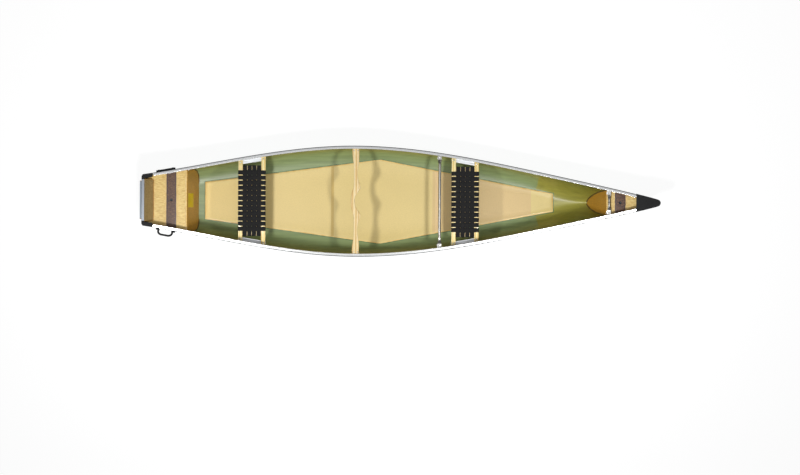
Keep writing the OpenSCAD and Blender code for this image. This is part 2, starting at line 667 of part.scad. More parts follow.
// Rivet heads on the flat lower land of the gunwale's outer flange
rivet_xs = concat([for (s = rivet_stations) station(s)],
  [for (s = seat_stations) for (k = [-1 : 1]) station(s) + k * rivet_pitch]);
module rivets_along() {
  for (x = rivet_xs) {
    i = floor((x - first_x) / pitch);
    x0 = max(outer_x(i), gunwale_x0);
    x1 = min(outer_x(i + 1), gunwale_x1);
    a = on_rail(x0, [rail_gap_out + 3, -rail_h + 7]);
    b = on_rail(x1, [rail_gap_out + 3, -rail_h + 7]);
    p = a + (b - a) * (x - x0) / (x1 - x0);
    translate(p) rotate([-90, 0, atan2(b[1] - a[1], b[0] - a[0])]) translate([0, 0, 0.15])
      rotate_extrude($fn = 32) polygon([[0, 0], [4.4, 0], [4.2, 0.7], [3.2, 1.5], [1.6, 2], [0, 2.1]]);
  }
}
module gunwale_rivets_port() color("#dfe2e4") rivets_along();
module gunwale_rivets_starboard() color("#dfe2e4") mirror([0, 1, 0]) rivets_along();

// The bow plate follows the gunwales' outer edge and ends in a round tip
deck_x0 = loa / 2 - deck_len;
deck_fall = atan2(sheer(hull_fwd) - sheer(deck_x0), hull_fwd - deck_x0);
tip_r = 31;
deck_lip = 4; // overhang of the bow plate past the gunwales
function deck_points(x0, inset) =
  let (
    cx = loa / 2 - tip_r - (deck_skirt[1] - cap_t) * sin(deck_fall),
    join = cx - 8,
    xs = [for (i = [0 : 6]) x0 + (join - x0) * i / 6],
    side = [for (x = xs) [x, half_at(x) + rail_out + deck_lip - inset]],
    arc = [for (a = [70 : -10 : 0]) [cx + (tip_r - inset) * cos(a), (tip_r - inset) * sin(a)]]
  )
  concat(side, arc);
module deck_outline(x0, inset) {
  p = deck_points(x0, inset);
  flat = [for (v = p) [(v[0] - deck_x0) / cos(deck_fall), v[1]]];
  polygon(concat(flat, [for (v = reversed(flat)) if (v[1] > 0) [v[0], -v[1]]]));
}
module bow_deck_plate() color("#1c1f24") translate([deck_x0, 0, sheer(deck_x0) + 1.7 * touch]) rotate([0, -deck_fall, 0])
  difference() {
    union() {
      linear_extrude(cap_t) deck_outline(deck_x0, 0);
      translate([0, 0, -deck_skirt[1] + cap_t]) linear_extrude(deck_skirt[1] - 1)
        deck_outline(loa / 2 - deck_skirt[0], 0);
    }
    translate([0, 0, -deck_skirt[1]]) linear_extrude(deck_skirt[1])
      deck_outline(loa / 2 - deck_skirt[0] - 20, cap_t);
    for (p = deck_rivet_places) translate([p[0], p[1], 0.5]) cylinder(d = 4.2, h = cap_t, $fn = 32);
  }
deck_rivet_places = [for (s = [-1, 1]) for (d = [14, 60]) [d, s * (half_at(deck_x0 + d) - 2)]];
module deck_plate_rivets() color("#c8ccce")
  translate([deck_x0, 0, sheer(deck_x0) + 1.7 * touch]) rotate([0, -deck_fall, 0])
    for (p = deck_rivet_places) translate([p[0], p[1], cap_t]) rotate_extrude($fn = 32)
      polygon([[0, 1.8], [1.6, 1.6], [3.2, 0.9], [4.2, 0], [2, 0], [2, -1.8], [0, -1.8]]);

// ---- Yoke, thwart and bow handle -------------------------------------------

// A smooth curve through points, by Catmull-Rom pieces
function smooth(points, steps = 5) = concat(flat_list([for (i = [0 : len(points) - 2])
  let (a = points[max(0, i - 1)], b = points[i], c = points[i + 1], d = points[min(len(points) - 1, i + 2)])
  [for (s = [0 : steps - 1]) let (t = s / steps)
    0.5 * (2 * b + (c - a) * t + (2 * a - 5 * b + 4 * c - d) * t * t + (3 * b - a - 3 * c + d) * t * t * t)]]),
  [points[len(points) - 1]]);

yoke_x = station(yoke_station);
// Shares of the half-length, and distances fore of the yoke's middle
yoke_fore = [[0, -9], [0.09, -4], [0.19, 23], [0.25, 40], [0.3, 38], [0.38, 24], [0.48, 14], [0.58, 14],
  [0.76, 27], [1, 27]];
yoke_aft = [[0, -45], [0.09, -42], [0.2, -32], [0.29, -20], [0.4, -18], [0.58, -18], [0.72, -22], [0.87, -32], [1, -33]];
module yoke() color("#e2bf7e") {
  half = min(inner_half(yoke_x - 33, yoke_z), inner_half(yoke_x + 27, yoke_z)) - touch - hanger_t - 4;
  fore = smooth([for (p = yoke_fore) [yoke_x + p[1], half * p[0]]]);
  aft = smooth([for (p = yoke_aft) [yoke_x + p[1], half * p[0]]]);
  outline = concat(fore, reversed(aft));
  low = concat([for (p = aft) if (p[1] > 0) [p[0], -p[1]]], [for (p = reversed(fore)) if (p[1] > 0) [p[0], -p[1]]]);
  difference() {
    translate([0, 0, yoke_z + touch]) linear_extrude(yoke_t) polygon(concat(outline, low));
    yoke_screw_places() translate([0, 0, -1]) cylinder(d = 5.4, h = yoke_t + 3, $fn = 40);
  }
}
module yoke_screw_places() both_sides() for (dx = [-20, 16])
  translate([yoke_x + dx, bolt_y(yoke_x, yoke_z), yoke_z]) children();
module yoke_brackets() color("#b9bec4") both_sides() difference() {
  hanger(yoke_x - 3, 58, yoke_z);
  for (dx = [-20, 16]) translate([yoke_x + dx, bolt_y(yoke_x, yoke_z), yoke_z - hanger_t - 1])
    cylinder(d = 5.4, h = hanger_t + 2, $fn = 40);
}
module yoke_screws() color("#c8ccce") yoke_screw_places()
  translate([0, 0, yoke_t + touch + 0.05]) pan_screw(5, yoke_t + hanger_t + 4);

module thwart() color("#c9cdd2") cross_tube(station(thwart_station), thwart_tube, thwart_z);
module thwart_brackets() color("#b9bec4") both_sides() small_bracket(station(thwart_station), thwart_z);
module tube_bolts(x, z) both_sides() for (s = [-1, 1])
  translate([x + s * tab[1] / 4, bolt_y(x, z), z + touch + tab[2] + 0.05]) pan_screw(4, tab[2] + hanger_t + 4);
module thwart_bolts() color("#dfe2e4") tube_bolts(station(thwart_station), thwart_z);

module bow_carry_handle() color("#c9cdd2") cross_tube(bow_handle_x, bow_handle_tube, bow_handle_z);
module bow_handle_brackets() color("#b9bec4") both_sides() small_bracket(bow_handle_x, bow_handle_z);
module bow_handle_bolts() color("#dfe2e4") tube_bolts(bow_handle_x, bow_handle_z);

// ---- Seats: s is 0 for the stern seat and 1 for the bow seat ---------------

function seat_x(s) = station(seat_stations[s]);
function seat_top(s) = sheer(seat_x(s)) - seat_drop[s];
function flange_z(s) = seat_top(s) - bar[1] - touch;
function rail_x(s, side) = seat_x(s) + side * rail_gap / 2;

module seat_rail(s, side) color("#e3c183") difference() {
  x0 = rail_x(s, side) - bar[0] / 2;
  x1 = x0 + bar[0];
  clear = touch + hanger_t + 5;
  y0 = inner_half(x0, flange_z(s)) - clear;
  y1 = inner_half(x1, flange_z(s)) - clear;
  translate([0, 0, seat_top(s) - bar[1]]) linear_extrude(bar[1]) polygon([[x0, y0], [x1, y1], [x1, -y1], [x0, -y0]]);
  both_sides() translate([rail_x(s, side), bolt_y(rail_x(s, side), flange_z(s)), seat_top(s) - bar[1] - 1])
    cylinder(d = bolt_d + 0.6, h = bar[1] + 2, $fn = 40);
}

cross_drop = web[1] + 0.6; // the cross rails lie this far below the main rails
module seat_cross_rail(s) color("#e3c183") {
  len = rail_gap - bar[0] - 2 * touch;
  translate([seat_x(s) - len / 2, seat_w / 2 - bar[0], seat_top(s) - bar[1] - cross_drop]) cube([len, bar[0], bar[1]]);
}

// A strip of webbing round two bars that lie span apart, outside to outside; it
// runs along X over the top at height z and turns under each bar
wrap_under = 18;
module web_strip(span, z) {
  t = web[1];
  h = bar[1] + 2 * touch;
  e = span / 2 + touch;
  rotate([90, 0, 0]) linear_extrude(web[0], center = true)
    polygon([[-e - t, z + t], [e + t, z + t], [e + t, z - h - t], [e - wrap_under, z - h - t], [e - wrap_under, z - h],
      [e, z - h], [e, z], [-e, z], [-e, z - h], [wrap_under - e, z - h], [wrap_under - e, z - h - t], [-e - t, z - h - t]]);
}
module seat_long_webbing(s) color("#26272b") {
  step = (seat_w - 2 * bar[0] - web[0] - 8) / (web_n[0] - 1);
  for (i = [0 : web_n[0] - 1])
    translate([seat_x(s), (i - (web_n[0] - 1) / 2) * step, 0])
      web_strip(rail_gap + bar[0], seat_top(s) + touch);
}
module seat_cross_webbing(s) color("#26272b") {
  step = (rail_gap - bar[0] - web[0] - 2) / (web_n[1] - 1);
  for (i = [0 : web_n[1] - 1])
    translate([seat_x(s) + (i - (web_n[1] - 1) / 2) * step, 0, 0])
      rotate([0, 0, 90]) web_strip(seat_w, seat_top(s) - cross_drop + touch);
}

module seat_hanger(s) color("#b9bec4") difference() {
  hanger(seat_x(s), rail_gap + bar[0] - 6, flange_z(s));
  for (side = [-1, 1]) translate([rail_x(s, side), bolt_y(rail_x(s, side), flange_z(s)), flange_z(s) - hanger_t - 1])
    cylinder(d = bolt_d + 0.6, h = hanger_t + 2, $fn = 40);
}
module seat_bolts(s) color("#c8ccce") both_sides() for (side = [-1, 1])
  translate([rail_x(s, side), bolt_y(rail_x(s, side), flange_z(s)), 0]) {
    translate([0, 0, seat_top(s) + 0.05]) carriage_bolt(bar[1] + hanger_t + 9);
    translate([0, 0, flange_z(s) - hanger_t - 5.2]) hex_nut(5);
  }

// ---- Stern carry handles ---------------------------------------------------

grip_x = -loa / 2 + grip_from_end;
grip_span = 2 * lug_len + 4 * lug_gap + grip_len + grip_d + 2; // over the lugs
// Ends of the flat land that the lugs sit on, and the land's direction
grip_turn = let (a = on_rail(grip_x - grip_span / 2, [0, 0]), b = on_rail(grip_x + grip_span / 2, [0, 0]))
  [atan2(b[1] - a[1], b[0] - a[0]), -atan2(b[2] - a[2], b[0] - a[0])];
grip_place = on_rail(grip_x, [grip_a, grip_b]);
// Local X along the port gunwale, Y outwards, Z up, origin on the hinge axis
module at_grip() translate(grip_place) rotate([0, grip_turn[1], grip_turn[0]]) children();

knuckle_d = grip_d + 2;
corner_bend = 34;
// The loop lies in local X and Y, with its hinge along X
module grip_loop() {
  h = grip_len / 2;
  b = corner_bend;
  for (s = [-1, 1]) mirror([s < 0 ? 1 : 0, 0, 0]) {
    translate([h, 0, 0]) rotate([-90, 0, 0]) cylinder(d = grip_d, h = grip_reach - b, $fn = 48);
    translate([h - b, grip_reach - b, 0]) rotate_extrude(angle = 90, $fn = 64) translate([b, 0]) circle(d = grip_d, $fn = 48);
    translate([h - knuckle_d / 2, 0, 0]) rotate([0, 90, 0]) cylinder(d = knuckle_d, h = knuckle_d, $fn = 48);
    translate([h, 0, 0]) rotate([0, 90, 0]) cylinder(d = pin_d, h = knuckle_d / 2 + lug_gap + lug_len, $fn = 48);
  }
  translate([b - h, grip_reach, 0]) rotate([0, 90, 0]) cylinder(d = grip_d, h = grip_len - 2 * b, $fn = 48);
}
module stern_handle_port() color("#17191c") at_grip() rotate([-90, 0, 0]) grip_loop();
module stern_handle_starboard() color("#17191c")
  mirror([0, 1, 0]) at_grip() rotate([-starboard_angle, 0, 0]) grip_loop();

// A lug: a foot on the gunwale's lower land and a boss with a bore on the hinge axis
// How far the gunwale stands out past the handle's straight line at the lugs
lug_rise = let (n = [-sin(grip_turn[0]), cos(grip_turn[0])], m = on_rail(grip_x, [0, 0]))
  max([for (s = [-1, -0.8, 0.8, 1])
    let (p = on_rail(grip_x + s * grip_span / 2, [0, 0])) (p[0] - m[0]) * n[0] + (p[1] - m[1]) * n[1]]) + touch;
land_y = rail_gap_out + 3 - grip_a + lug_rise; // the lugs' feet, in the handle's own frame
module lug() {
  w = pin_d + 7;
  difference() {
    union() {
      rotate([0, 90, 0]) cylinder(d = w, h = lug_len, $fn = 48);
      translate([0, land_y, -w / 2]) cube([lug_len, 1 - land_y, w]);
    }
    translate([-1, 0, 0]) rotate([0, 90, 0]) cylinder(d = pin_d + 2 * pin_fit, h = lug_len + 2, $fn = 64);
  }
  translate([lug_len, land_y, -5]) difference() {
    cube([14, 3, 11]);
    translate([8, -1, 5]) rotate([-90, 0, 0]) cylinder(d = 4.4, h = 5, $fn = 32);
  }
}
module lug_pair() at_grip() for (s = [0, 1]) mirror([s, 0, 0])
  translate([grip_len / 2 + knuckle_d / 2 + lug_gap, 0, 0]) lug();
module handle_lugs_port() color("#22262b") lug_pair();
module handle_lugs_starboard() color("#22262b") mirror([0, 1, 0]) lug_pair();
module handle_lug_screws() color("#c8ccce") both_sides() at_grip() for (s = [0, 1]) mirror([s, 0, 0])
  translate([grip_len / 2 + knuckle_d / 2 + lug_gap + lug_len + 8, land_y + 3.05, 0]) rotate([-90, 0, 0]) pan_screw(4, 2.6);

hull_shell();
floor_core();
stern_tank_cover();
bow_tank_cover();
stern_tank_foam();
bow_tank_foam();
stern_tank_band();
bow_tank_band();
stern_vent_plug();
bow_vent_plug();
blank_label();
transom_knee();
transom_cap();
transom_corner_port();
transom_corner_starboard();
motor_pad();
motor_pad_cap();
motor_pad_screws();
gunwale_port();
gunwale_starboard();
gunwale_rivets_port();
gunwale_rivets_starboard();
bow_deck_plate();
deck_plate_rivets();
yoke();
yoke_brackets();
yoke_screws();
thwart();
thwart_brackets();
thwart_bolts();
bow_carry_handle();
bow_handle_brackets();
bow_handle_bolts();
seat_rail(0, -1);  // stern_seat_aft_rail
seat_rail(0, 1);  // stern_seat_fore_rail
seat_cross_rail(0);  // stern_seat_cross_rail_port
mirror([0, 1, 0]) seat_cross_rail(0);  // stern_seat_cross_rail_starboard
seat_long_webbing(0);  // stern_seat_long_webbing
seat_cross_webbing(0);  // stern_seat_cross_webbing
seat_hanger(0);  // stern_seat_hanger_port
mirror([0, 1, 0]) seat_hanger(0);  // stern_seat_hanger_starboard
seat_bolts(0);  // stern_seat_bolts
seat_rail(1, -1);  // bow_seat_aft_rail
seat_rail(1, 1);  // bow_seat_fore_rail
seat_cross_rail(1);  // bow_seat_cross_rail_port
mirror([0, 1, 0]) seat_cross_rail(1);  // bow_seat_cross_rail_starboard
seat_long_webbing(1);  // bow_seat_long_webbing
seat_cross_webbing(1);  // bow_seat_cross_webbing
seat_hanger(1);  // bow_seat_hanger_port
mirror([0, 1, 0]) seat_hanger(1);  // bow_seat_hanger_starboard
seat_bolts(1);  // bow_seat_bolts
stern_handle_port();
stern_handle_starboard();
handle_lugs_port();
handle_lugs_starboard();
handle_lug_screws();
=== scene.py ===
# %% [markdown]
# # A square-stern canoe
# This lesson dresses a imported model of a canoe: a moulded hull with a green gel
# coat, cloth and resin inside, aluminium gunwales, ash seats with black webbing,
# a carved yoke and a wooden pad for a small motor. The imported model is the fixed
# frame. Everything made here lies in the same space, with +X to the bow, +Y to
# port and +Z up, and the boat stands on the floor at the origin.

# %% Load the frame
import math
import random

import bmesh
import bpy
import numpy as np
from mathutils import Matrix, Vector


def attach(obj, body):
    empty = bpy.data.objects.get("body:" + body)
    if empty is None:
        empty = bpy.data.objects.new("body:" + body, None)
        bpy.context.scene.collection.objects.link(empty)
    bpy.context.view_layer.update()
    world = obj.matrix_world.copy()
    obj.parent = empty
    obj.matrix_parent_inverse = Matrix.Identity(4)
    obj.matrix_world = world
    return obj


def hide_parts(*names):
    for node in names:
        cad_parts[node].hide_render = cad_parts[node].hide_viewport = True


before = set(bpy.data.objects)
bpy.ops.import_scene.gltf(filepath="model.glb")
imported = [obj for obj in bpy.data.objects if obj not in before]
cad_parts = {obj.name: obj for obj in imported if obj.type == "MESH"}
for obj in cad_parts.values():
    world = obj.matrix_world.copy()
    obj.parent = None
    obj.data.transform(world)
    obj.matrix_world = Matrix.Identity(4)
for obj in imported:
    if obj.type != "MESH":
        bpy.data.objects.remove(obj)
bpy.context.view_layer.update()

# %% [markdown]
# ## Camera, floor and light
# A boat is drawn in plan to show its lines, so the camera looks straight down. A
# long lens far away keeps the sides from leaning, and the camera is turned a third
# of a degree, as a hand-set one is. Two round lamps hang over the ends of the boat,
# a little to starboard. A seat near one lamp throws its shadow inboard, and the
# yoke, between the two, throws a soft pair. The sky is bright overhead and dim at
# the horizon, like a white ceiling in a darker hall, so flat metal reads white
# and upright walls stay deep. The floor is a light table, which glows enough to
# wash out the boat's own shadow.

# %% Camera
MM = 0.001
camera_data = bpy.data.cameras.new("plan_camera")
camera_data.lens = 300
camera_data.sensor_width = 36
camera_data.clip_end = 300
camera = bpy.data.objects.new("plan_camera", camera_data)
bpy.context.scene.collection.objects.link(camera)
bpy.context.scene.camera = camera
VIEW_WIDTH, SHEER_HEIGHT = 7031 * MM, 0.38
distance = VIEW_WIDTH / 2 * camera_data.lens / (camera_data.sensor_width / 2)
camera.location = (-0.65 * MM, -316.4 * MM, SHEER_HEIGHT + distance)
camera.rotation_euler.z = math.radians(0.353)
print("camera height", round(camera.location.z, 1), "m")

# %% Floor, sky and lamps
HORIZON, ZENITH, SKY_FOCUS, LAMP_POWER, LAMP_HEIGHT = 0.08, 0.85, 6, 27, 3.5
floor_mesh = bpy.data.meshes.new("studio_floor")
floor_mesh.from_pydata([(x, y, 0) for x, y in ((-40, -40), (40, -40), (40, 40), (-40, 40))], [], [(0, 1, 2, 3)])
studio_floor = bpy.data.objects.new("studio_floor", floor_mesh)
studio_floor.location.z = -0.0005
bpy.context.scene.collection.objects.link(studio_floor)

sky = bpy.data.worlds.new("studio_sky")
sky.use_nodes = True
bpy.context.scene.world = sky
bpy.context.scene.view_settings.view_transform = "Standard"
nodes, links = sky.node_tree.nodes, sky.node_tree.links
direction = nodes.new("ShaderNodeTexCoord")
direction_parts = nodes.new("ShaderNodeSeparateXYZ")
glow = nodes.new("ShaderNodeMapRange")
glow.inputs["To Min"].default_value = HORIZON
glow.inputs["To Max"].default_value = ZENITH
links.new(direction.outputs["Generated"], direction_parts.inputs["Vector"])
focus = nodes.new("ShaderNodeMath")
focus.operation = "POWER"
focus.inputs[1].default_value = SKY_FOCUS
focus.use_clamp = True
links.new(direction_parts.outputs["Z"], focus.inputs[0])
links.new(focus.outputs["Value"], glow.inputs["Value"])
links.new(glow.outputs["Result"], nodes["Background"].inputs["Strength"])
nodes["Background"].inputs["Color"].default_value = (0.985, 0.99, 1.0, 1)

for name, x in (("stern_lamp", -1.92), ("bow_lamp", 1.37)):
    light = bpy.data.lights.new(name, "AREA")
    light.shape = "DISK"
    light.size = 0.36
    light.spread = math.radians(110)
    light.energy = LAMP_POWER
    lamp = bpy.data.objects.new(name, light)
    lamp.location = (x, -1.0, LAMP_HEIGHT)
    # A lamp shines along its own -Z. It is aimed at the nearer half of the boat.
    aim = Vector((x * 0.6, 0, 0.2)) - lamp.location
    lamp.rotation_euler = aim.to_track_quat("-Z", "Y").to_euler()
    bpy.context.scene.collection.objects.link(lamp)

# %% [markdown]
# ## Tools for finishes
# A finish is a Principled shader with patterns plugged into its colour, roughness
# and bump. One function adds a node, and another turns a hex colour, as seen on a
# screen, into the linear numbers that a shader works in. Patterns are measured on
# the object in millimetres, so `per_mm` gives the scale that a texture needs for
# one repeat in so many millimetres. The short functions after them each add one
# kind of node and hand back its output, so a pattern reads like a sum.

# %% Finish helpers
WAVE_PITCH = 0.314


def linear(hex_colour):
    parts = [int(hex_colour[i:i + 2], 16) / 255 for i in (1, 3, 5)]
    return [c / 12.92 if c <= 0.04045 else ((c + 0.055) / 1.055) ** 2.4 for c in parts] + [1.0]


def add(tree, kind, settings=None, inputs=None):
    node = tree.nodes.new(kind)
    for key, value in (settings or {}).items():
        setattr(node, key, value)
    for key, value in (inputs or {}).items():
        if isinstance(value, bpy.types.NodeSocket):
            tree.links.new(value, node.inputs[key])
        else:
            node.inputs[key].default_value = value
    return node


def per_mm(size):
    return 1 / (size * MM)


def start_finish(name, **shader):
    finish = bpy.data.materials.new(name)
    finish.use_nodes = True
    tree = finish.node_tree
    surface = tree.nodes["Principled BSDF"]
    for key, value in shader.items():
        surface.inputs[key.replace("_", " ")].default_value = value
    place = add(tree, "ShaderNodeTexCoord").outputs["Object"]
    return finish, tree, surface, place


def stretched(tree, place, sizes, turn=(0, 0, 0)):
    """Turns and scales the place, for a pattern with its own size on each axis."""
    scale = tuple(per_mm(size) for size in sizes)
    return add(tree, "ShaderNodeMapping", None, {
        "Vector": place, "Rotation": turn, "Scale": scale}).outputs["Vector"]


def axes_of(tree, place):
    return add(tree, "ShaderNodeSeparateXYZ", None, {"Vector": place}).outputs


def noise(tree, place, scale, detail, roughness=0.5):
    return add(tree, "ShaderNodeTexNoise", None, {
        "Vector": place, "Scale": scale, "Detail": detail, "Roughness": roughness}).outputs["Fac"]


def cells(tree, place, size):
    return add(tree, "ShaderNodeTexVoronoi", None, {
        "Vector": place, "Scale": per_mm(size)}).outputs["Distance"]


def waves(tree, place, direction, pitch, distortion=0.0):
    """Bands so many millimetres apart. At scale 1 they are WAVE_PITCH metres apart."""
    return add(tree, "ShaderNodeTexWave", {"bands_direction": direction}, {
        "Vector": place, "Scale": WAVE_PITCH * per_mm(pitch), "Distortion": distortion}).outputs["Fac"]


def spread(tree, value, low, high, start=0.0, end=1.0):
    """Moves a value that runs from start to end on to one that runs from low to high."""
    return add(tree, "ShaderNodeMapRange", None, {
        "Value": value, "From Min": start, "From Max": end,
        "To Min": low, "To Max": high}).outputs["Result"]


def calc(tree, operation, *values):
    return add(tree, "ShaderNodeMath", {"operation": operation}, dict(enumerate(values))).outputs["Value"]


def toned(tree, colour, tone):
    """A colour made lighter or darker by a number."""
    return add(tree, "ShaderNodeVectorMath", {"operation": "SCALE"}, {
        0: colour, "Scale": tone}).outputs["Vector"]


def mixed(tree, factor, first, second):
    return add(tree, "ShaderNodeMix", {"data_type": "RGBA"}, {
        "Factor": factor, "A": first, "B": second}).outputs["Result"]


def ramp(tree, value, stops, interpolation="LINEAR"):
    node = add(tree, "ShaderNodeValToRGB", None, {"Fac": value})
    node.color_ramp.interpolation = interpolation
    while len(node.color_ramp.elements) < len(stops):
        node.color_ramp.elements.new(0.5)
    for element, (position, colour) in zip(node.color_ramp.elements, stops):
        element.position = position
        element.color = linear(colour)
    return node.outputs["Color"]


def plug_in(tree, surface, colour, height, strength, depth, roughness=None):
    """Plugs in a colour, a bump up to `depth` mm deep and, where given, a roughness."""
    bump = add(tree, "ShaderNodeBump", None, {
        "Height": height, "Strength": strength, "Distance": depth * MM})
    tree.links.new(colour, surface.inputs["Base Color"])
    tree.links.new(bump.outputs["Normal"], surface.inputs["Normal"])
    if roughness is not None:
        tree.links.new(roughness, surface.inputs["Roughness"])


print("a 4 mm pattern has scale", per_mm(4))

# %% [markdown]
# ## Gel coat
# The outside of the hull is polyester gel coat, sprayed into a polished mould. It
# is hard and glossy, with the faintest ripple of the mould, often called orange
# peel. The colour is a greyed sage green, with a slow drift that keeps the long
# side from looking painted by a machine. Scuffs dull it along the keel, where the
# boat has been set down on sand.

# %% Gel coat
SCUFF_TOP = 0.045
gel_coat, tree, surface, place = start_finish(
    "sage_gel_coat", IOR=1.5, Coat_Weight=0.35, Coat_Roughness=0.08)
tint = ramp(tree, noise(tree, place, per_mm(700), 3), [(0.3, "#9DB1A3"), (0.7, "#A8BCAE")])
near_keel = spread(tree, axes_of(tree, place)["Z"], 0, 1, SCUFF_TOP, 0)
scratches = noise(tree, stretched(tree, place, (260, 9, 9)), 1, 6)
scuffed = calc(tree, "MULTIPLY", near_keel, scratches)
orange_peel = noise(tree, place, per_mm(9), 2)
plug_in(tree, surface, mixed(tree, scuffed, tint, linear("#8C9A8E")), orange_peel, 0.06, 0.6,
        spread(tree, scuffed, 0.2, 0.6))
print("made", gel_coat.name)

# %% [markdown]
# ## Cloth and resin inside the hull
# The inside has no paint. Green-gold cloth shows through clear resin, and its
# layers change with height: bluer where an extra layer runs along the bilge, and
# darker olive up by the gunwale, partly where the cloth is wetter with resin and
# partly as painted shade under the gunwale's overhang. Towards the bow a yellower
# patch of cloth covers the floor, with a slanted, frayed edge. The real weave has
# threads 1.5 mm apart, finer than a view of the whole boat can show, so it is drawn
# with threads 5 mm apart. Long streaks are where a squeegee drew the resin along.

# %% Cloth inside the hull
WALL_TOP, PATCH_EDGE, FADE, SLANT, THREAD = 0.42, 1.17, 0.007, -0.29, 5
hull_cloth, tree, surface, place = start_finish(
    "green_cloth_in_resin", IOR=1.52, Roughness=0.42, Coat_Weight=0.15, Coat_Roughness=0.3)
x, y, z = axes_of(tree, place)
wander = calc(tree, "MULTIPLY_ADD", noise(tree, place, per_mm(420), 4), 0.05, -0.025)
rise = spread(tree, calc(tree, "ADD", z, wander), 0, 1, 0, WALL_TOP)
# Painted shade: both ramps darken towards the gunwale, for the shade under its overhang as well as the cloth's own
# darker layers.
cloth_layers_and_shade = ramp(tree, rise, [(0.0, "#819262"), (0.12, "#8C9B67"), (0.2, "#89965D"), (0.27, "#979853"),
                           (0.62, "#929048"), (0.86, "#878339"), (1.0, "#6C6A2A")])
bow_cloth_layers_and_shade = ramp(tree, rise, [(0.0, "#9D9845"), (0.35, "#938F38"), (0.7, "#7E7E2F"), (1.0, "#595B1E")])
slant = calc(tree, "MULTIPLY_ADD", calc(tree, "ABSOLUTE", y), SLANT, x)
frayed = calc(tree, "MULTIPLY_ADD", noise(tree, place, per_mm(60), 3), 0.02, slant)
cloth = mixed(tree, spread(tree, frayed, 0, 1, PATCH_EDGE, PATCH_EDGE + FADE), cloth_layers_and_shade, bow_cloth_layers_and_shade)
streaks = noise(tree, stretched(tree, place, (900, 26, 16)), 1, 5, 0.6)
round_hull = add(tree, "ShaderNodeVectorMath", {"operation": "DOT_PRODUCT"}, {0: place, 1: (0, 0.75, 0.75)})
weft_place = add(tree, "ShaderNodeCombineXYZ", None, {"X": round_hull.outputs["Value"]}).outputs["Vector"]
weave = calc(tree, "MULTIPLY", waves(tree, place, "X", THREAD), waves(tree, weft_place, "X", THREAD))
tone = calc(tree, "MULTIPLY", spread(tree, streaks, 0.8, 1.16, 0.3, 0.7), spread(tree, weave, 0.94, 1.08))
plug_in(tree, surface, toned(tree, cloth, tone), weave, 0.25, 0.4)
print("made", hull_cloth.name)

# %% [markdown]
# ## Chopped-strand laminate
# The tank covers and the knee behind the transom are laid up from chopped strand:
# short glass fibres thrown down at random and wetted with amber resin. Each fleck
# is 15 to 25 mm long. Stretched noise in three directions gives flecks without
# a direction of their own.

# %% Chopped-strand laminate
def chopped_strand(name, pale, mid, dark, roughness):
    finish, tree, surface, place = start_finish(
        name, IOR=1.52, Roughness=roughness, Coat_Weight=0.2, Coat_Roughness=0.25)
    flecks = [noise(tree, stretched(tree, place, (34, 7, 11), (0.4, 0.3, math.radians(turn))), 1, 3)
              for turn in (32, 118, 76)]
    mat = calc(tree, "MAXIMUM", calc(tree, "MAXIMUM", *flecks[:2]), flecks[2])
    colour = ramp(tree, mat, [(0.46, dark), (0.58, mid), (0.74, pale)])
    cloud = spread(tree, noise(tree, place, per_mm(160), 2), 0.88, 1.1)
    plug_in(tree, surface, toned(tree, colour, cloud), mat, 0.16, 0.6)
    return finish


tank_laminate = chopped_strand("amber_chopped_strand", "#F3DB91", "#E9C876", "#D5AE5B", 0.45)
# The slopes' copy is darker and more saturated: partly a different laminate, partly painted shade of the steep slope.
slope_laminate_and_shade = chopped_strand("dark_amber_strand_and_shade", "#CF9836", "#C0892B", "#AA7522", 0.4)
knee_laminate = chopped_strand("brown_chopped_strand", "#B8A070", "#A1895A", "#866E43", 0.5)
print("made", tank_laminate.name, slope_laminate_and_shade.name, knee_laminate.name)

# %% [markdown]
# ## Floor panel's cloth
# The floor is stiffened by a foam panel under smooth tan cloth. It was laid in
# sections, so two joints cross it, and the sections differ a little in shade. Their
# tones are also partly painted light: the end aft of the stern seat is painted
# brighter where the lamps light it less, with the step hidden under the seat. The
# grain is the print-through of the core's cells under the cloth, drawn 6 mm
# across, with fine grit on top.

# %% Floor panel's cloth
PANEL_START, PANEL_RUN = -1750, 3100
# Painted light: the first section, aft of the stern seat, is brighter to make up for light the lamps don't give
# there, and the other tones are partly set the same way.
SECTIONS_AND_PAINTED_LIGHT = [(-1750, "#F1D588"), (-1307, "#DEC683"), (-612, "#D0B266"), (-590, "#DCC582"),
            (274, "#D5B87E"), (298, "#DFBF88"), (322, "#D7BA80"), (1156, "#DCC680")]
floor_cloth, tree, surface, place = start_finish(
    "tan_cloth_in_resin", IOR=1.52, Roughness=0.5, Coat_Weight=0.1, Coat_Roughness=0.3)
along = spread(tree, axes_of(tree, place)["X"], 0, 1, PANEL_START * MM, (PANEL_START + PANEL_RUN) * MM)
sections_and_painted_light = ramp(tree, along, [((x - PANEL_START) / PANEL_RUN, c) for x, c in SECTIONS_AND_PAINTED_LIGHT], "CONSTANT")
grit = spread(tree, noise(tree, place, per_mm(9), 6, 0.7), 0.93, 1.06, 0.3, 0.7)
wash = spread(tree, noise(tree, place, per_mm(500), 3), 0.93, 1.06)
tone = calc(tree, "MULTIPLY", grit, wash)
plug_in(tree, surface, toned(tree, sections_and_painted_light, tone), cells(tree, place, 6), 0.15, 0.3)
print("made", floor_cloth.name)

# %% [markdown]
# ## Resin-soaked tape, amber resin and edge cloth
# A dark band crosses each tank: wide tape with a twill weave, soaked in brown
# resin, with its own maroon edges. Where pieces meet, a bead of amber resin fills
# the corner, and it catches the light because it cured smooth.

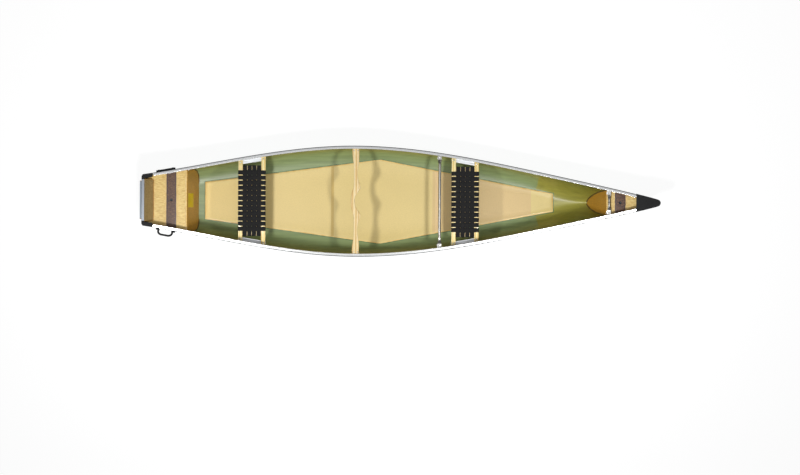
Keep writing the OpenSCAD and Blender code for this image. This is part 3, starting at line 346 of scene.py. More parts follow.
# %% Tape and resin
tape, tree, surface, place = start_finish(
    "brown_resin_tape", IOR=1.52, Roughness=0.45, Coat_Weight=0.08, Coat_Roughness=0.2)
yarns = [noise(tree, stretched(tree, place, (reach, 5, 12), (0, 0, math.radians(turn))), 1, 3, 0.6)
         for turn, reach in ((40, 26), (-48, 17))]
twill = calc(tree, "MAXIMUM", *yarns)
twill_colour = ramp(tree, twill, [(0.42, "#391F0E"), (0.56, "#58351A"), (0.72, "#8A5F37")])
plug_in(tree, surface, twill_colour, twill, 0.5, 0.8)


def cured_resin(name, light, dark, roughness):
    finish, tree, surface, place = start_finish(
        name, IOR=1.54, Roughness=roughness, Coat_Weight=0.3, Coat_Roughness=0.12)
    pool = noise(tree, place, per_mm(45), 4)
    plug_in(tree, surface, ramp(tree, pool, [(0.35, dark), (0.65, light)]), pool, 0.2, 1)
    return finish


amber_resin = cured_resin("amber_resin", "#D9A75B", "#B07830", 0.25)
dark_resin = cured_resin("dark_resin", "#5B3A26", "#33241A", 0.3)
maroon_resin = cured_resin("maroon_resin", "#4C2A26", "#2F1A18", 0.35)
# Partly painted shade: this darker resin lines the fillet only along the slopes.
seam_resin_and_shade = cured_resin("seam_resin_and_shade", "#6B5228", "#4A3A1E", 0.35)
green_resin = cured_resin("green_resin", "#6F8A5C", "#55714A", 0.35)
edge_cloth = cured_resin("pale_edge_cloth", "#EBCB86", "#DDB466", 0.45)
print("made", [m.name for m in (tape, amber_resin, dark_resin, maroon_resin, edge_cloth)])

# %% [markdown]
# ## Wood
# The seats' bars and the yoke are white ash: pale, straight, with honey-coloured
# growth rings and short dark pores. The motor pad is a redder hardwood. Grain runs
# along a piece, so the pattern is squeezed across the grain and drawn out along
# it, and each wood takes the direction of its piece.

# %% Wood
def wood(name, along_axis, pale, mid, dark, ring, roughness=0.36):
    finish, tree, surface, place = start_finish(
        name, IOR=1.5, Roughness=roughness, Coat_Weight=0.4, Coat_Roughness=0.16)

    def grain(across, along):
        sizes = [across] * 3
        sizes[along_axis] = along
        return stretched(tree, place, sizes)

    growth = grain(ring, ring * 16)
    rings = add(tree, "ShaderNodeTexWave", {"wave_type": "RINGS", "rings_direction": "XYZ"[along_axis]}, {
        "Vector": growth, "Scale": 0.22, "Distortion": 7.0, "Detail": 3.0, "Detail Scale": 0.6}).outputs["Fac"]
    bend = calc(tree, "MULTIPLY_ADD", noise(tree, growth, 0.55, 3), 0.5, -0.12)
    figure = calc(tree, "MULTIPLY_ADD", rings, 0.6, bend)
    colour = ramp(tree, figure, [(0.12, pale), (0.5, mid), (0.88, dark)])
    pores = noise(tree, grain(1.3, 22), 1, 2)
    pore_tone = spread(tree, pores, 0.82, 1.03, 0.35, 0.6)
    plug_in(tree, surface, toned(tree, colour, pore_tone), pores, 0.2, 0.3)
    return finish


ash_across = wood("varnished_ash_across", 1, "#F3DDAA", "#E9CB8B", "#CC9C55", 15)
ash_along = wood("varnished_ash_along", 0, "#F3DDAA", "#E9CB8B", "#CC9C55", 15)
# The seats' copy is a yellower varnish and is also painted brighter than the yoke's ash: painted light.
seat_ash_painted_light = wood("yellow_varnished_ash_painted_light", 1, "#FFF0B8", "#FDE39A", "#E8BE6A", 15)
pad_hardwood = wood("oiled_hardwood", 1, "#DDA052", "#C07F35", "#8A531E", 11, 0.42)
print("made", ash_across.name, ash_along.name, pad_hardwood.name)

# %% [markdown]
# ## Metals
# The gunwales, tubes and brackets are extruded or bent aluminium with a satin
# skin. Extrusion leaves hairlines along the length, drawn here 1.4 mm apart and
# 300 mm long. They roughen the shine more than they change the colour. The
# screws are stainless steel, and the cap on the transom is anodised, which makes
# it bluer and flatter.

# %% Metals
LINES_ACROSS, DRAWN_LINES, SPECKS = (1.4, 300, 1.4), (1.6, 260, 1.6), (6, 6, 6)


def metal(name, colour, roughness, line=(300, 1.4, 1.4), strength=0.12):
    finish, tree, surface, place = start_finish(name, Metallic=1.0)
    hairline = noise(tree, stretched(tree, place, line), 1, 3)
    smudge = spread(tree, noise(tree, place, per_mm(120), 4), 0.9, 1.04)
    shine = spread(tree, hairline, roughness - 0.1, roughness + 0.14)
    plug_in(tree, surface, toned(tree, linear(colour)[:3], smudge), hairline, strength, 0.2, shine)
    return finish


satin_aluminium = metal("satin_aluminium", "#E4E5E5", 0.24)
# The gunwale's outer flange takes a dark copy: painted shade and a painted dark reflection on its sloped faces.
flange_aluminium_painted_shade = metal("brushed_flange_aluminium_painted_shade", "#505254", 0.6)
cross_aluminium = metal("drawn_aluminium_tube", "#C9C7C2", 0.26, LINES_ACROSS)
mill_aluminium = metal("mill_finish_aluminium", "#DDDFE1", 0.42, (60, 60, 1.6))
anodised_aluminium = metal("anodised_aluminium", "#868B91", 0.4, DRAWN_LINES)
pad_plate_metal = metal("weathered_aluminium_plate", "#8F989F", 0.45, DRAWN_LINES)
stainless_steel = metal("stainless_steel", "#CDD0D2", 0.28, SPECKS, 0.05)
blackened_steel = metal("blackened_steel", "#303133", 0.4, SPECKS, 0.05)
rivet_aluminium = metal("bright_rivet_aluminium", "#E6E7E8", 0.24, (5, 5, 5), 0.05)
print("made", sum(m.name.find("alumin") >= 0 for m in bpy.data.materials), "aluminium finishes")

# %% [markdown]
# ## Black mouldings, rubber, webbing and film
# The end caps are moulded ABS with a fine leather-like grain, 1.5 mm across. The
# carry handles are soft rubber. The seats are polyester webbing, woven with ribs
# across the strap: real ribs are about 1 mm apart, drawn 2.4 mm apart to show.
# Nothing black is quite black, or it would read as a hole.

# %% Moulded plastics and rubber
def moulded(name, colour, roughness, grain, strength, gleam=0.5):
    finish, tree, surface, place = start_finish(name, IOR=1.5, Specular_IOR_Level=gleam)
    haze = noise(tree, place, per_mm(60), 5)
    shade = toned(tree, linear(colour)[:3], spread(tree, haze, 0.75, 1.3))
    shine = spread(tree, haze, roughness - 0.08, roughness + 0.1)
    plug_in(tree, surface, shade, cells(tree, place, grain), strength, 0.3, shine)
    return finish


black_abs = moulded("grained_black_abs", "#0F1011", 0.5, 1.5, 0.35, 0.2)
black_plug = moulded("smooth_black_nylon", "#141A1C", 0.3, 4, 0.05, 0.4)
soft_rubber = moulded("soft_black_rubber", "#151618", 0.6, 1.2, 0.3, 0.35)
closed_foam = moulded("closed_cell_foam", "#EDE7D2", 0.8, 3, 0.4)
label_film = moulded("yellow_vinyl_film", "#E3C200", 0.35, 9, 0.05, 0.2)


# %% Webbing
def woven_webbing(name, rib_axis):
    finish, tree, surface, place = start_finish(
        name, IOR=1.5, Roughness=0.78, Specular_IOR_Level=0.3, Sheen_Weight=0.12, Sheen_Roughness=0.4)
    ribs = waves(tree, place, "XYZ"[rib_axis], 2.4, 0.4)
    cords = waves(tree, place, "YX"[rib_axis], 4.75)
    knit = calc(tree, "MULTIPLY", ribs, cords)
    fuzz = noise(tree, place, per_mm(14), 6, 0.7)
    shade = calc(tree, "MULTIPLY_ADD", knit, 0.5, fuzz)
    colour = ramp(tree, shade, [(0.3, "#0B0B0B"), (0.65, "#141414"), (1.0, "#222121")])
    plug_in(tree, surface, colour, knit, 0.6, 0.6)
    return finish


webbing_lengthwise = woven_webbing("polyester_webbing_lengthwise", 0)
webbing_crosswise = woven_webbing("polyester_webbing_crosswise", 1)
light_table, *_ = start_finish("light_table", Base_Color=linear("#7C7C7C"), Roughness=0.9,
                               Emission_Color=(1, 1, 1, 1), Emission_Strength=0.9)
floor_mesh.materials.append(light_table)
print(len(bpy.data.materials), "finishes so far")

# %% [markdown]
# ## Tools for shapes
# Most pieces of a boat are lofts: a section that changes as it moves along. `loft`
# joins rings of points into a skin, `piece` turns points in millimetres into an
# object that rides on its body, and `soften` rounds its edges, because no sawn or
# moulded edge is perfectly sharp. `recolour` gives some faces the second finish.

# %% Shape helpers
def piece(name, points, faces, finish, stands_for=(), body="hull", sharp=38, slot=None):
    mesh = bpy.data.meshes.new(name)
    mesh.from_pydata([tuple(c * MM for c in p) for p in points], [], faces)
    for each in finish if isinstance(finish, list) else [finish]:
        mesh.materials.append(each)
    work = bmesh.new()
    work.from_mesh(mesh)
    bmesh.ops.recalc_face_normals(work, faces=work.faces)
    work.to_mesh(mesh)
    work.free()
    mesh.shade_smooth()
    mesh.set_sharp_from_angle(angle=math.radians(sharp))
    made = bpy.data.objects.new(name, mesh)
    bpy.context.scene.collection.objects.link(made)
    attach(made, body)
    if stands_for:
        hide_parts(*([stands_for] if isinstance(stands_for, str) else stands_for))
    return made


def recolour(made, chosen):
    """Gives the second finish to each face whose centre, in mm, is chosen."""
    for polygon in made.data.polygons:
        if chosen(*(polygon.center / MM)):
            polygon.material_index = 1


def loft(rings, closed=True, caps=True):
    count = len(rings[0])
    points = [tuple(p) for ring in rings for p in ring]
    last = count if closed else count - 1
    faces = []
    for low in range(0, (len(rings) - 1) * count, count):
        high = low + count
        faces += [(low + k, low + (k + 1) % count, high + (k + 1) % count, high + k) for k in range(last)]
    if caps and closed:
        faces.append(tuple(range(count)))
        faces.append(tuple((len(rings) - 1) * count + k for k in range(count)))
    return points, faces


def board(outline, low, high):
    return loft([[(x, y, low) for x, y in outline], [(x, y, high) for x, y in outline]])


def join(*parts):
    points, faces = [], []
    for some_points, some_faces in parts:
        faces += [tuple(v + len(points) for v in face) for face in some_faces]
        points += list(some_points)
    return points, faces


def flip_y(part):
    points, faces = part
    return [(x, -y, z) for x, y, z in points], [tuple(reversed(face)) for face in faces]


def soften(made, width, segments, angle):
    bevel = made.modifiers.new("softened_edges", "BEVEL")
    bevel.width = width * MM
    bevel.segments = segments
    bevel.limit_method = "ANGLE"
    bevel.angle_limit = math.radians(angle)
    bevel.harden_normals = True


def circle(radius, z, turn):
    return [(radius * math.cos(a), radius * math.sin(a), z) for a in turn]


def full_turn(sides):
    return np.linspace(0, 2 * math.pi, sides, endpoint=False)


def directions(path):
    ahead = np.gradient(path, axis=0)
    return ahead / np.linalg.norm(ahead, axis=1)[:, None]


def tube(path, radii, sides):
    """A round tube along a path, with one radius for each point."""
    path = np.array(path, float)
    ahead = directions(path)
    side = np.cross(ahead[0], (0, 0, 1) if abs(ahead[0][2]) < 0.9 else (0, 1, 0))
    rings = []
    for point, direction, r in zip(path, ahead, radii):
        side = side - direction * (side @ direction)
        side /= np.linalg.norm(side)
        up = np.cross(direction, side)
        turn = full_turn(sides)
        rings.append(point + r * (np.outer(np.cos(turn), side) + np.outer(np.sin(turn), up)))
    return loft(rings)


def lathe(profile, sides):
    """Turns a profile of (radius, height) about Z."""
    return loft([circle(r, z, full_turn(sides)) for r, z in profile])


def placed(part, origin, x_axis=(1, 0, 0), z_axis=(0, 0, 1)):
    """Moves a part so that its own X and Z point along the given directions."""
    points, faces = part
    z = np.array(z_axis, float) / np.linalg.norm(z_axis)
    x = np.array(x_axis, float) - z * np.dot(x_axis, z)
    x /= np.linalg.norm(x)
    frame_axes = np.array([x, np.cross(z, x), z])
    return [tuple(p) for p in np.array(points, float) @ frame_axes + np.array(origin, float)], faces


print("shape helpers ready")

# %% [markdown]
# ## The hull's lines
# A hull has few straight lines, but a builder draws it from a handful: the
# half-breadth at the gunwale, the sheer, which is the gunwale's height, the keel,
# and the fullness of each section. These are the same curves that the packed
# model was made from, in millimetres, read here at a finer step so that the skin
# looks faired.

# %% Lines in plan and profile
LOA, HALF_BEAM, TRANSOM_HALF, STEM_R = 4572, 476, 212, 10
DEPTH, BOW_RISE, STERN_RISE, ROCKER = 388, 121, 95, 13
LAMINATE, STEM_RAKE, FOREFOOT, TRANSOM_RAKE = 3, 158, 278, 0.114
CORNER_SIDE, CORNER_LEN, CORNER_RISE, FLAT = 25, 105, 72, 0.004
MID_FULLNESS, BOW_FULLNESS, BOW_SWELL, SWELL_TURN = 0.4, 1.55, 450, 0.63
BOW_REACH, AFT_REACH, STEM_ROUND, STEM_CURVE = 780, 425, 0.36, 2.7


def station(share):
    return -LOA / 2 + share * LOA


RAKE_ANGLE = math.atan(TRANSOM_RAKE)
WIDEST_X, LOW_X = station(0.413), station(0.557)
BOW_SLOPE = 2 * BOW_RISE / (LOA / 2 - LOW_X)
HULL_FORE = LOA / 2 - 3.3 - 38 * BOW_SLOPE
HULL_AFT = -LOA / 2 + 18.3 * math.cos(RAKE_ANGLE) - TRANSOM_RAKE * 12
TRANSOM_TOP, RIM_DROP = DEPTH + STERN_RISE, 3
FIRST_X, LAST_X = HULL_AFT + 25, HULL_FORE - STEM_R
KEEL_END = HULL_FORE - STEM_RAKE - FOREFOOT


FORE_KEEL, AFT_KEEL = station(0.807), station(0.163)


def hermite(t, start, end, end_slope):
    return start * (2 * t ** 3 - 3 * t * t + 1) + end * (3 * t * t - 2 * t ** 3) + end_slope * (t ** 3 - t * t)


def half_at(x):
    """Half-breadth at the gunwale. The bow is a little fuller than a plain curve."""
    if x > WIDEST_X:
        run = HULL_FORE - WIDEST_X
        t = (x - WIDEST_X) / run
        swell = BOW_SWELL * t ** 3 * (1 - t) * (t - SWELL_TURN)
        return hermite(t, HALF_BEAM, STEM_R, -0.215 * run) + swell
    run = WIDEST_X - HULL_AFT
    return hermite((WIDEST_X - x) / run, HALF_BEAM, TRANSOM_HALF, -0.151 * run)


def sheer(x):
    """Height of the gunwale's top."""
    if x > LOW_X:
        return DEPTH + BOW_RISE * ((x - LOW_X) / (HULL_FORE - LOW_X)) ** 2
    return DEPTH + STERN_RISE * min(1, (LOW_X - x) / (LOW_X - HULL_AFT)) ** 2.3


def keel(x):
    if x > FORE_KEEL:
        return ROCKER * ((x - FORE_KEEL) / (KEEL_END - FORE_KEEL)) ** 2
    if x < AFT_KEEL:
        return ROCKER * ((AFT_KEEL - x) / (AFT_KEEL - FIRST_X)) ** 2
    return 0


print("hull from", round(HULL_AFT), "to", round(HULL_FORE), "mm")

# %% One ring of the skin
def ease(s):
    s = min(1, max(0, s))
    return s * s * (3 - 2 * s)


def fullness(x):
    """Less than 1 is a round bilge, and more than 1 is a hollow V."""
    early = ease((x - station(0.58)) / (HULL_FORE - station(0.58)))
    late = ease((x - station(0.74)) / (station(0.9) - station(0.74)))
    return MID_FULLNESS + (BOW_FULLNESS - MID_FULLNESS) * (0.3 * early + 0.7 * late)


def stem_shift(h):
    s = 1 - np.minimum(1, h / STEM_ROUND)
    return -STEM_RAKE * (1 - h) - FOREFOOT * (1 - (1 - s ** STEM_CURVE) ** (1 / STEM_CURVE))


def ring(x, rounding=0, nose=0, inside=False, steps=28):
    """Points from the keel to the port gunwale. Rounding closes the ring in towards
    the transom and nose towards the stem, both in degrees."""
    t = LAMINATE if inside else 0
    shut, point = math.radians(rounding), math.radians(nose)
    angle = np.radians(np.linspace(0, 90, steps + 1))
    level = np.cos(angle) ** fullness(x)
    level[-1] = 0
    h = np.maximum(0, 1 - level - FLAT) / (1 - FLAT)
    half = (half_at(x) - t - CORNER_SIDE * (1 - math.cos(shut))) * math.cos(point)
    bow = (max(0, x - LAST_X + BOW_REACH) / BOW_REACH) ** 1.5
    aft = (max(0, FIRST_X + AFT_REACH - x) / AFT_REACH) ** 1.5
    keel_x = min(KEEL_END, x + bow * float(stem_shift(np.array(0.0))))
    low = keel(keel_x) + t + CORNER_RISE * (1 - math.cos(shut))
    z = low + (sheer(x) - RIM_DROP - low) * h
    reach = CORNER_SIDE + (CORNER_LEN - CORNER_SIDE) * (1 - h) ** 5
    lean = TRANSOM_RAKE * (TRANSOM_TOP - z) + reach - CORNER_SIDE
    ahead = x + (STEM_R - t) * math.sin(point) * 0.9 + bow * stem_shift(h) + aft * lean - reach * math.sin(shut)
    return np.column_stack([ahead, half * np.sin(angle) ** fullness(x), z])


def inner_wall(x, z):
    """The inner ring that lies at a true x at this height. Rings lean, so it is sought in steps."""
    guess = x
    for _ in range(7):
        wall = ring(guess, inside=True)
        guess += x - np.interp(z, wall[:, 2], wall[:, 0])
    return ring(guess, inside=True)


def inner_half(x, z):
    """Half-breadth of the inner face at a true x and height."""
    wall = inner_wall(x, z)
    return float(np.interp(z, wall[:, 2], wall[:, 1]))


def floor_z(x, y):
    """Height of the inner face near the keel."""
    wall = inner_wall(x, LAMINATE + 2)
    return float(np.interp(abs(y), wall[:, 1], wall[:, 2]))


def outward(x):
    slope = (half_at(x + 5) - half_at(x - 5)) / 10
    return np.array([-slope, 1]) / math.hypot(slope, 1)


def on_rail(x, out, up):
    """A point so far outside the hull's edge and above the gunwale's top."""
    n = outward(x)
    return np.array([x + n[0] * out, half_at(x) + n[1] * out, sheer(x) + up])


print("inner half-breadth amidships at z 300:", round(inner_half(0, 300)), "mm")

# %% [markdown]
# ## Hull skin
# The hull is one moulding: gel coat, then cloth and resin, 3 mm in all. Its mesh is
# two lofts, one for each face, joined along the edge under the gunwales. The
# rings close round the corners of the transom and round the stem, so that
# neither end is a flat cut. Each face takes its own finish by its slot.

# %% Hull skin
def skin(inside):
    start, end = (HULL_AFT + 30, HULL_FORE - 27) if inside else (FIRST_X, LAST_X)
    rings = [ring(start, rounding=a, inside=inside) for a in range(90, 0, -9)]
    rings += [ring(x, inside=inside) for x in np.linspace(start, end, 141)]
    rings += [ring(end, nose=a, inside=inside) for a in (15, 30, 45, 60, 74, 84)]
    return [np.vstack([r[:0:-1] * (1, -1, 1), r]) for r in rings]


outer, inner = skin(False), skin(True)
width = len(outer[0])
outer_points, outer_faces = loft(outer, closed=False)
inner_points, inner_faces = loft(inner, closed=False)
count, last = len(outer_points), len(outer) - 1


def end_faces(first):
    """Closes one end with strips from side to side, and a triangle at the keel."""
    middle, final = width // 2, first + width - 1
    strips = [(first + k, first + k + 1, final - 1 - k, final - k) for k in range(middle - 1)]
    return strips + [(first + middle - 1, first + middle, first + middle + 1)]


rim = []
for i in range(last):
    for k in (0, width - 1):
        a, b = i * width + k, (i + 1) * width + k
        rim.append((a, b, b + count, a + count))
for i in (0, last):
    a, b = i * width, i * width + width - 1
    rim.append((a, b, b + count, a + count))
ends = end_faces(0) + end_faces(last * width)
outside_faces = outer_faces + ends + rim
inside_faces = [tuple(v + count for v in f) for f in inner_faces + ends]
hull = piece("hull_skin", outer_points + inner_points, outside_faces + inside_faces,
             [gel_coat, hull_cloth], "hull_shell", sharp=50, slot="hull_laminate")
for polygon in hull.data.polygons:
    if polygon.index >= len(outside_faces):
        polygon.material_index = 1
print("hull skin has", len(hull.data.polygons), "faces")

# %% [markdown]
# ## Floor panel
# A foam core, cut to a long diamond and covered with cloth, lies on the bottom.
# Its edges are chamfered so that the cloth can follow, and the trimmed edge of
# that cloth shows as a paler rim. The mesh follows the hull's curve from below,
# and a line of green resin runs round it.

# %% Floor panel
CORE_X = [station(s) for s in (0.1225, 0.461, 0.7954)]
CORE_HALF = [165, 372, 80]
CORE_EDGE, RIM, BEAD = 9, 12, 7
shares = np.concatenate([np.linspace(-1, 0, 12), np.linspace(0, 1, 12)[1:]])
chamfer = [(5.5, 4.9), (2.5, 3.2), (0, 0.4)]


def core_half(x):
    return float(np.interp(x, CORE_X, CORE_HALF))


rings = []
core_xs = np.linspace(CORE_X[0], CORE_X[2], 90)
for x in core_xs:
    half = core_half(x)
    end = int(x == core_xs[0]) - int(x == core_xs[-1])
    top = [(s * (half - CORE_EDGE), 6, CORE_EDGE) for s in shares]
    right = [(half - inset, lift, inset) for inset, lift in chamfer]
    left = [(inset - half, lift, inset) for inset, lift in reversed(chamfer)]
    under = [(s * half, 0, 0) for s in shares[::-1]]
    outline = top + right + under + left
    rings.append([(x + end * inset, y, floor_z(x, y) + 0.9 + lift) for y, lift, inset in outline])
floor_panel = piece("floor_panel", *loft(rings), [floor_cloth, edge_cloth], "floor_core", sharp=50,
                    slot="floor_laminate")
recolour(floor_panel, lambda x, y, z: min(x - CORE_X[0], CORE_X[2] - x) < RIM or abs(y) > core_half(x) - RIM)

# A line of resin runs round the panel where the cloth turns down to the hull.
corners = [(x, core_half(x)) for x in np.linspace(CORE_X[0], CORE_X[2], 70)]
loop = [(CORE_X[0] - 0.5, y) for y in np.linspace(-CORE_HALF[0], CORE_HALF[0], 9)] + corners
loop += [(CORE_X[2] + 0.5, y) for y in np.linspace(CORE_HALF[2], -CORE_HALF[2], 7)]
loop += [(x, -y) for x, y in corners[::-1]]
bead_line = []
for x, y in loop:
    out_x = -1 if x < CORE_X[0] else 1 if x > CORE_X[2] else 0
    out_y = math.copysign(1, y) if abs(y) > 0.9 * core_half(x) else 0
    far = (x + BEAD * out_x, y + BEAD * out_y)
    near_z, far_z = floor_z(x, y), floor_z(*far)
    bead_line.append([(x, y, near_z + 1.4), (*far, far_z + 0.5), (*far, far_z - 0.3), (x, y, near_z - 0.3)])
piece("floor_edge_resin", *loft(bead_line + [bead_line[0]], caps=False), green_resin, slot="floor_laminate")
print("floor panel is", round(2 * max(CORE_HALF)), "mm at its widest")

# %% [markdown]
# ## Flotation tanks
# Each end of the boat has a sealed tank that keeps it afloat when swamped. A cover
# of chopped-strand laminate bends down over foam, and reaches the floor in a
# slope. The covers are swept from a side profile with a rounded bend, and each
# cross line is cut to fit the hull. A fillet of resin and cloth bonds them to the
# sides, so a thin concave bead runs up the wall all the way round.

# %% Tank covers
STERN_EDGE, STERN_TOP = -LOA / 2 + 413, TRANSOM_TOP - 150
BOW_EDGE = LOA / 2 - 477
BOW_TOP = sheer(BOW_EDGE) - 72


def bent_profile(start_x, edge_x, top_z, foot_x, foot_z, radius=13):
    """Side profile of a cover, with a rounded bend: x, z, and the unit normal."""
    ahead = math.copysign(1, edge_x - start_x)
    slope = np.array([foot_x - edge_x, foot_z - top_z])
    slope /= np.linalg.norm(slope)
    turn = math.acos(slope[0] * ahead)
    cut = radius * math.tan(turn / 2)
    rows = [(x, top_z, 0) for x in np.linspace(start_x, edge_x - ahead * cut, 14)]
    centre_x, centre_z = edge_x - ahead * cut, top_z - radius
    rows += [(centre_x + ahead * radius * math.sin(a), centre_z + radius * math.cos(a), a)
             for a in np.linspace(0, turn, 9)[1:]]
    bend = np.array([edge_x, top_z]) + slope * cut
    foot = np.array([foot_x, foot_z])
    rows += [(*(bend + (foot - bend) * s), turn) for s in np.linspace(0, 1, 22)[1:]]
    return [(x, z, ahead * math.sin(a), math.cos(a)) for x, z, a in rows]


COVER_SHARES = (-1, -0.985, -0.95, -0.8, -0.5, 0, 0.5, 0.8, 0.95, 0.985, 1)
COVER_T = 3


def tank_cover(name, node, rows):
    rings, bead_rings = [], []
    for x, z, nx, nz in rows:
        half = inner_half(x, z) - 1
        ys = [half * s for s in COVER_SHARES]
        rings.append([(x, y, z) for y in ys] + [(x - COVER_T * nx, y, z - COVER_T * nz) for y in ys[::-1]])

        # The fillet climbs the wall: each pair is a height off the cover and a gap to the wall.
        climb = [(x + nx * up, inner_half(x + nx * up, z + nz * up) - gap, z + nz * up)
                 for up, gap in ((1.1, 4), (2.8, 1.5), (7, 0.25), (7, -0.8))]
        bead_rings.append([(x + nx * 0.4, half - 7, z + nz * 0.4)] + climb + [(x, half + 1.6, z)])
    cover = piece(name, *loft(rings), [tank_laminate, slope_laminate_and_shade], node, slot="tank_laminate")
    bead = loft(bead_rings)
    fillet = piece(name + "_fillet", *join(bead, flip_y(bead)), [edge_cloth, seam_resin_and_shade], slot="tank_laminate")
    # Past the bend, the slope of the cover and of its fillet take the darker finishes: partly different laminate and
    # resin, partly painted shade of the steep slope.
    bend_x = (rows[13][0] + rows[20][0]) / 2
    for made in (cover, fillet):
        recolour(made, lambda x, y, z: (x - bend_x) * (rows[-1][0] - bend_x) > 0)


stern_foot, bow_foot = [(x, floor_z(x, 0) + 2) for x in (STERN_EDGE + 92, BOW_EDGE - 160)]
tank_cover("stern_tank", "stern_tank_cover", bent_profile(FIRST_X + 22, STERN_EDGE, STERN_TOP, *stern_foot))
tank_cover("bow_tank", "bow_tank_cover", bent_profile(LOA / 2 - 143, BOW_EDGE, BOW_TOP, *bow_foot))
print("stern tank top at", round(STERN_TOP), "mm, bow tank top at", round(BOW_TOP), "mm")

# %% [markdown]
# ## Bands and drain plugs
# A wide tape crosses each tank and ties its top to the hull. Cut tape is never
# quite straight, so its edges wander by a millimetre. They are soaked darker than
# its middle, and are separate strips of the mesh. In the middle sits a threaded
# nylon plug, which lets the tank dry out. A raised bar turns it.

# %% Bands
random.seed(7)
SELVAGE = 9
cross_shares = np.linspace(-1, 1, 41)


def tape_band(name, node, middle, width, tank_z):
    rows = []
    for edge in (-width / 2, -width / 2 + SELVAGE, 0, width / 2 - SELVAGE, width / 2):
        drift = 0
        row = []
        for s in cross_shares:
            drift = 0.7 * drift + random.uniform(-0.5, 0.5)
            x = middle + edge + (drift if abs(edge) > 1 else 0)
            row.append((x, s * (inner_half(x, tank_z + 1) - 3), tank_z + 0.25))
        rows.append(row)
    lift = [0.35, 1.0, 1.0, 1.0, 0.35]
    top = [[(x, y, z + h) for x, y, z in row] for row, h in zip(rows, lift)]
    rings = [list(points) for points in zip(*top, *rows[::-1])]
    band = piece(name, *loft(rings), [tape, maroon_resin], node, slot="band_laminate")
    recolour(band, lambda x, y, z: abs(x - middle) > width / 2 - SELVAGE)


def selvage(name, edges, tank_z):
    """Pale woven edges of the cloth under a tape or at a bend."""
    strips = []
    for x0, x1 in edges:
        rings = []
        half0, half1 = [inner_half(x, tank_z + 1) - 9 for x in (x0, x1)]
        for s in cross_shares:
            y0, y1 = s * half0, s * half1
            rings.append([(x0, y0, tank_z), (x0 + 1, y0, tank_z + 0.3), (x1 - 1, y1, tank_z + 0.3), (x1, y1, tank_z)])
        strips.append(loft(rings))
    piece(name, *join(*strips), edge_cloth, slot="tank_laminate")


STERN_BAND, BOW_BAND = -LOA / 2 + 272, LOA / 2 - 353
selvage("stern_cloth_edges", [(STERN_BAND - 55, STERN_BAND - 44), (STERN_BAND + 44, STERN_BAND + 55),
                              (STERN_EDGE - 20, STERN_EDGE - 10)], STERN_TOP)
selvage("bow_cloth_edges", [(BOW_BAND - 58, BOW_BAND - 48), (BOW_BAND + 48, BOW_BAND + 57)], BOW_TOP)
tape_band("stern_tape", "stern_tank_band", STERN_BAND, 86, STERN_TOP)
tape_band("bow_tape", "bow_tank_band", BOW_BAND, 94, BOW_TOP)
print("tapes at", STERN_BAND, BOW_BAND)

# %% Drain plugs
def drain_plug(name, node, x, z):
    profile = [(9.3, -3.8), (9.5, -3.2), (9.5, 0.1), (12.2, 0.1), (12.5, 0.7), (12.1, 1.5), (11.3, 2.1), (10.2, 2.35),
               (9.6, 2.1), (9.2, 1.5), (8.6, 1.35), (3, 1.5), (0.4, 1.55)]
    points, faces = lathe(profile, 48)
    knurled = [(px * (1 - 0.02 * (k % 2)), py * (1 - 0.02 * (k % 2)), pz)
               for k, (px, py, pz) in enumerate(points)]
    grip_bar = board([(-8, -1.3), (8, -1.3), (8.6, 0), (8, 1.3), (-8, 1.3), (-8.6, 0)], 1.2, 2.3)
    plug = placed(join((knurled, faces), grip_bar), (x, 0, z + 1.25))
    piece(name, *plug, black_plug, node, slot="black_plug")


drain_plug("stern_plug", "stern_vent_plug", STERN_BAND, STERN_TOP)
drain_plug("bow_plug", "bow_vent_plug", BOW_BAND, BOW_TOP)
print("plugs set")

# %% [markdown]
# ## Label, knee and resin lines
# Boats carry a plate on the slope by the stern seat. This one is a plain film
# with rounded corners and no words. Behind the transom a solid knee takes the
# motor's load, and where it meets the tank top the resin squeezed out as an amber
# line.

# %% Label
slope = np.array([stern_foot[0] - STERN_EDGE, 0, stern_foot[1] - STERN_TOP], float)
slope /= np.linalg.norm(slope)
slope_normal = np.array([-slope[2], 0, slope[0]])


def rounded_box(x0, x1, y0, y1, radius, steps=5):
    outline = []
    for cx, cy, start in ((x1 - radius, y1 - radius, 0), (x0 + radius, y1 - radius, 90),
                          (x0 + radius, y0 + radius, 180), (x1 - radius, y0 + radius, 270)):
        for k in range(steps + 1):
            a = math.radians(start + 90 * k / steps)
            outline.append((cx + radius * math.cos(a), cy + radius * math.sin(a)))
    return outline


bend_corner = (STERN_EDGE, 0, STERN_TOP)
label = placed(board(rounded_box(16, 176, -61, 61, 3), 0.1, 0.36), bend_corner, slope, slope_normal)
piece("plain_label", *label, label_film, "blank_label", slot="label_film")
stripe = placed(board(rounded_box(18, 25, -59, 59, 1.5), 0.3, 0.45), bend_corner, slope, slope_normal)
piece("plain_label_stripe", *stripe, dark_resin, slot="label_film")
print("label lies on a slope of", round(math.degrees(math.acos(slope[0]))), "degrees")


def dress(node, finish, edge=0.0, segments=2):
    """Gives a carried-over node its finish, and rounds its edges where asked."""
    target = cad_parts[node]
    for item in target.material_slots:
        item.material = finish
    if edge:
        weld = target.modifiers.new("weld", "WELD")
        weld.merge_threshold = 0.01 * MM
        soften(target, edge, segments, 30)


dress("transom_knee", knee_laminate, 5, 4)
knee_x = HULL_AFT + 97


def resin_line(name, path, size):
    """A squeezed-out bead of resin, a little uneven."""
    radii = [size * (1 + 0.18 * math.sin(1.7 * k) + 0.12 * random.uniform(-1, 1)) for k in range(len(path))]
    piece(name, *tube(path, radii, 10), amber_resin, slot="knee_laminate")


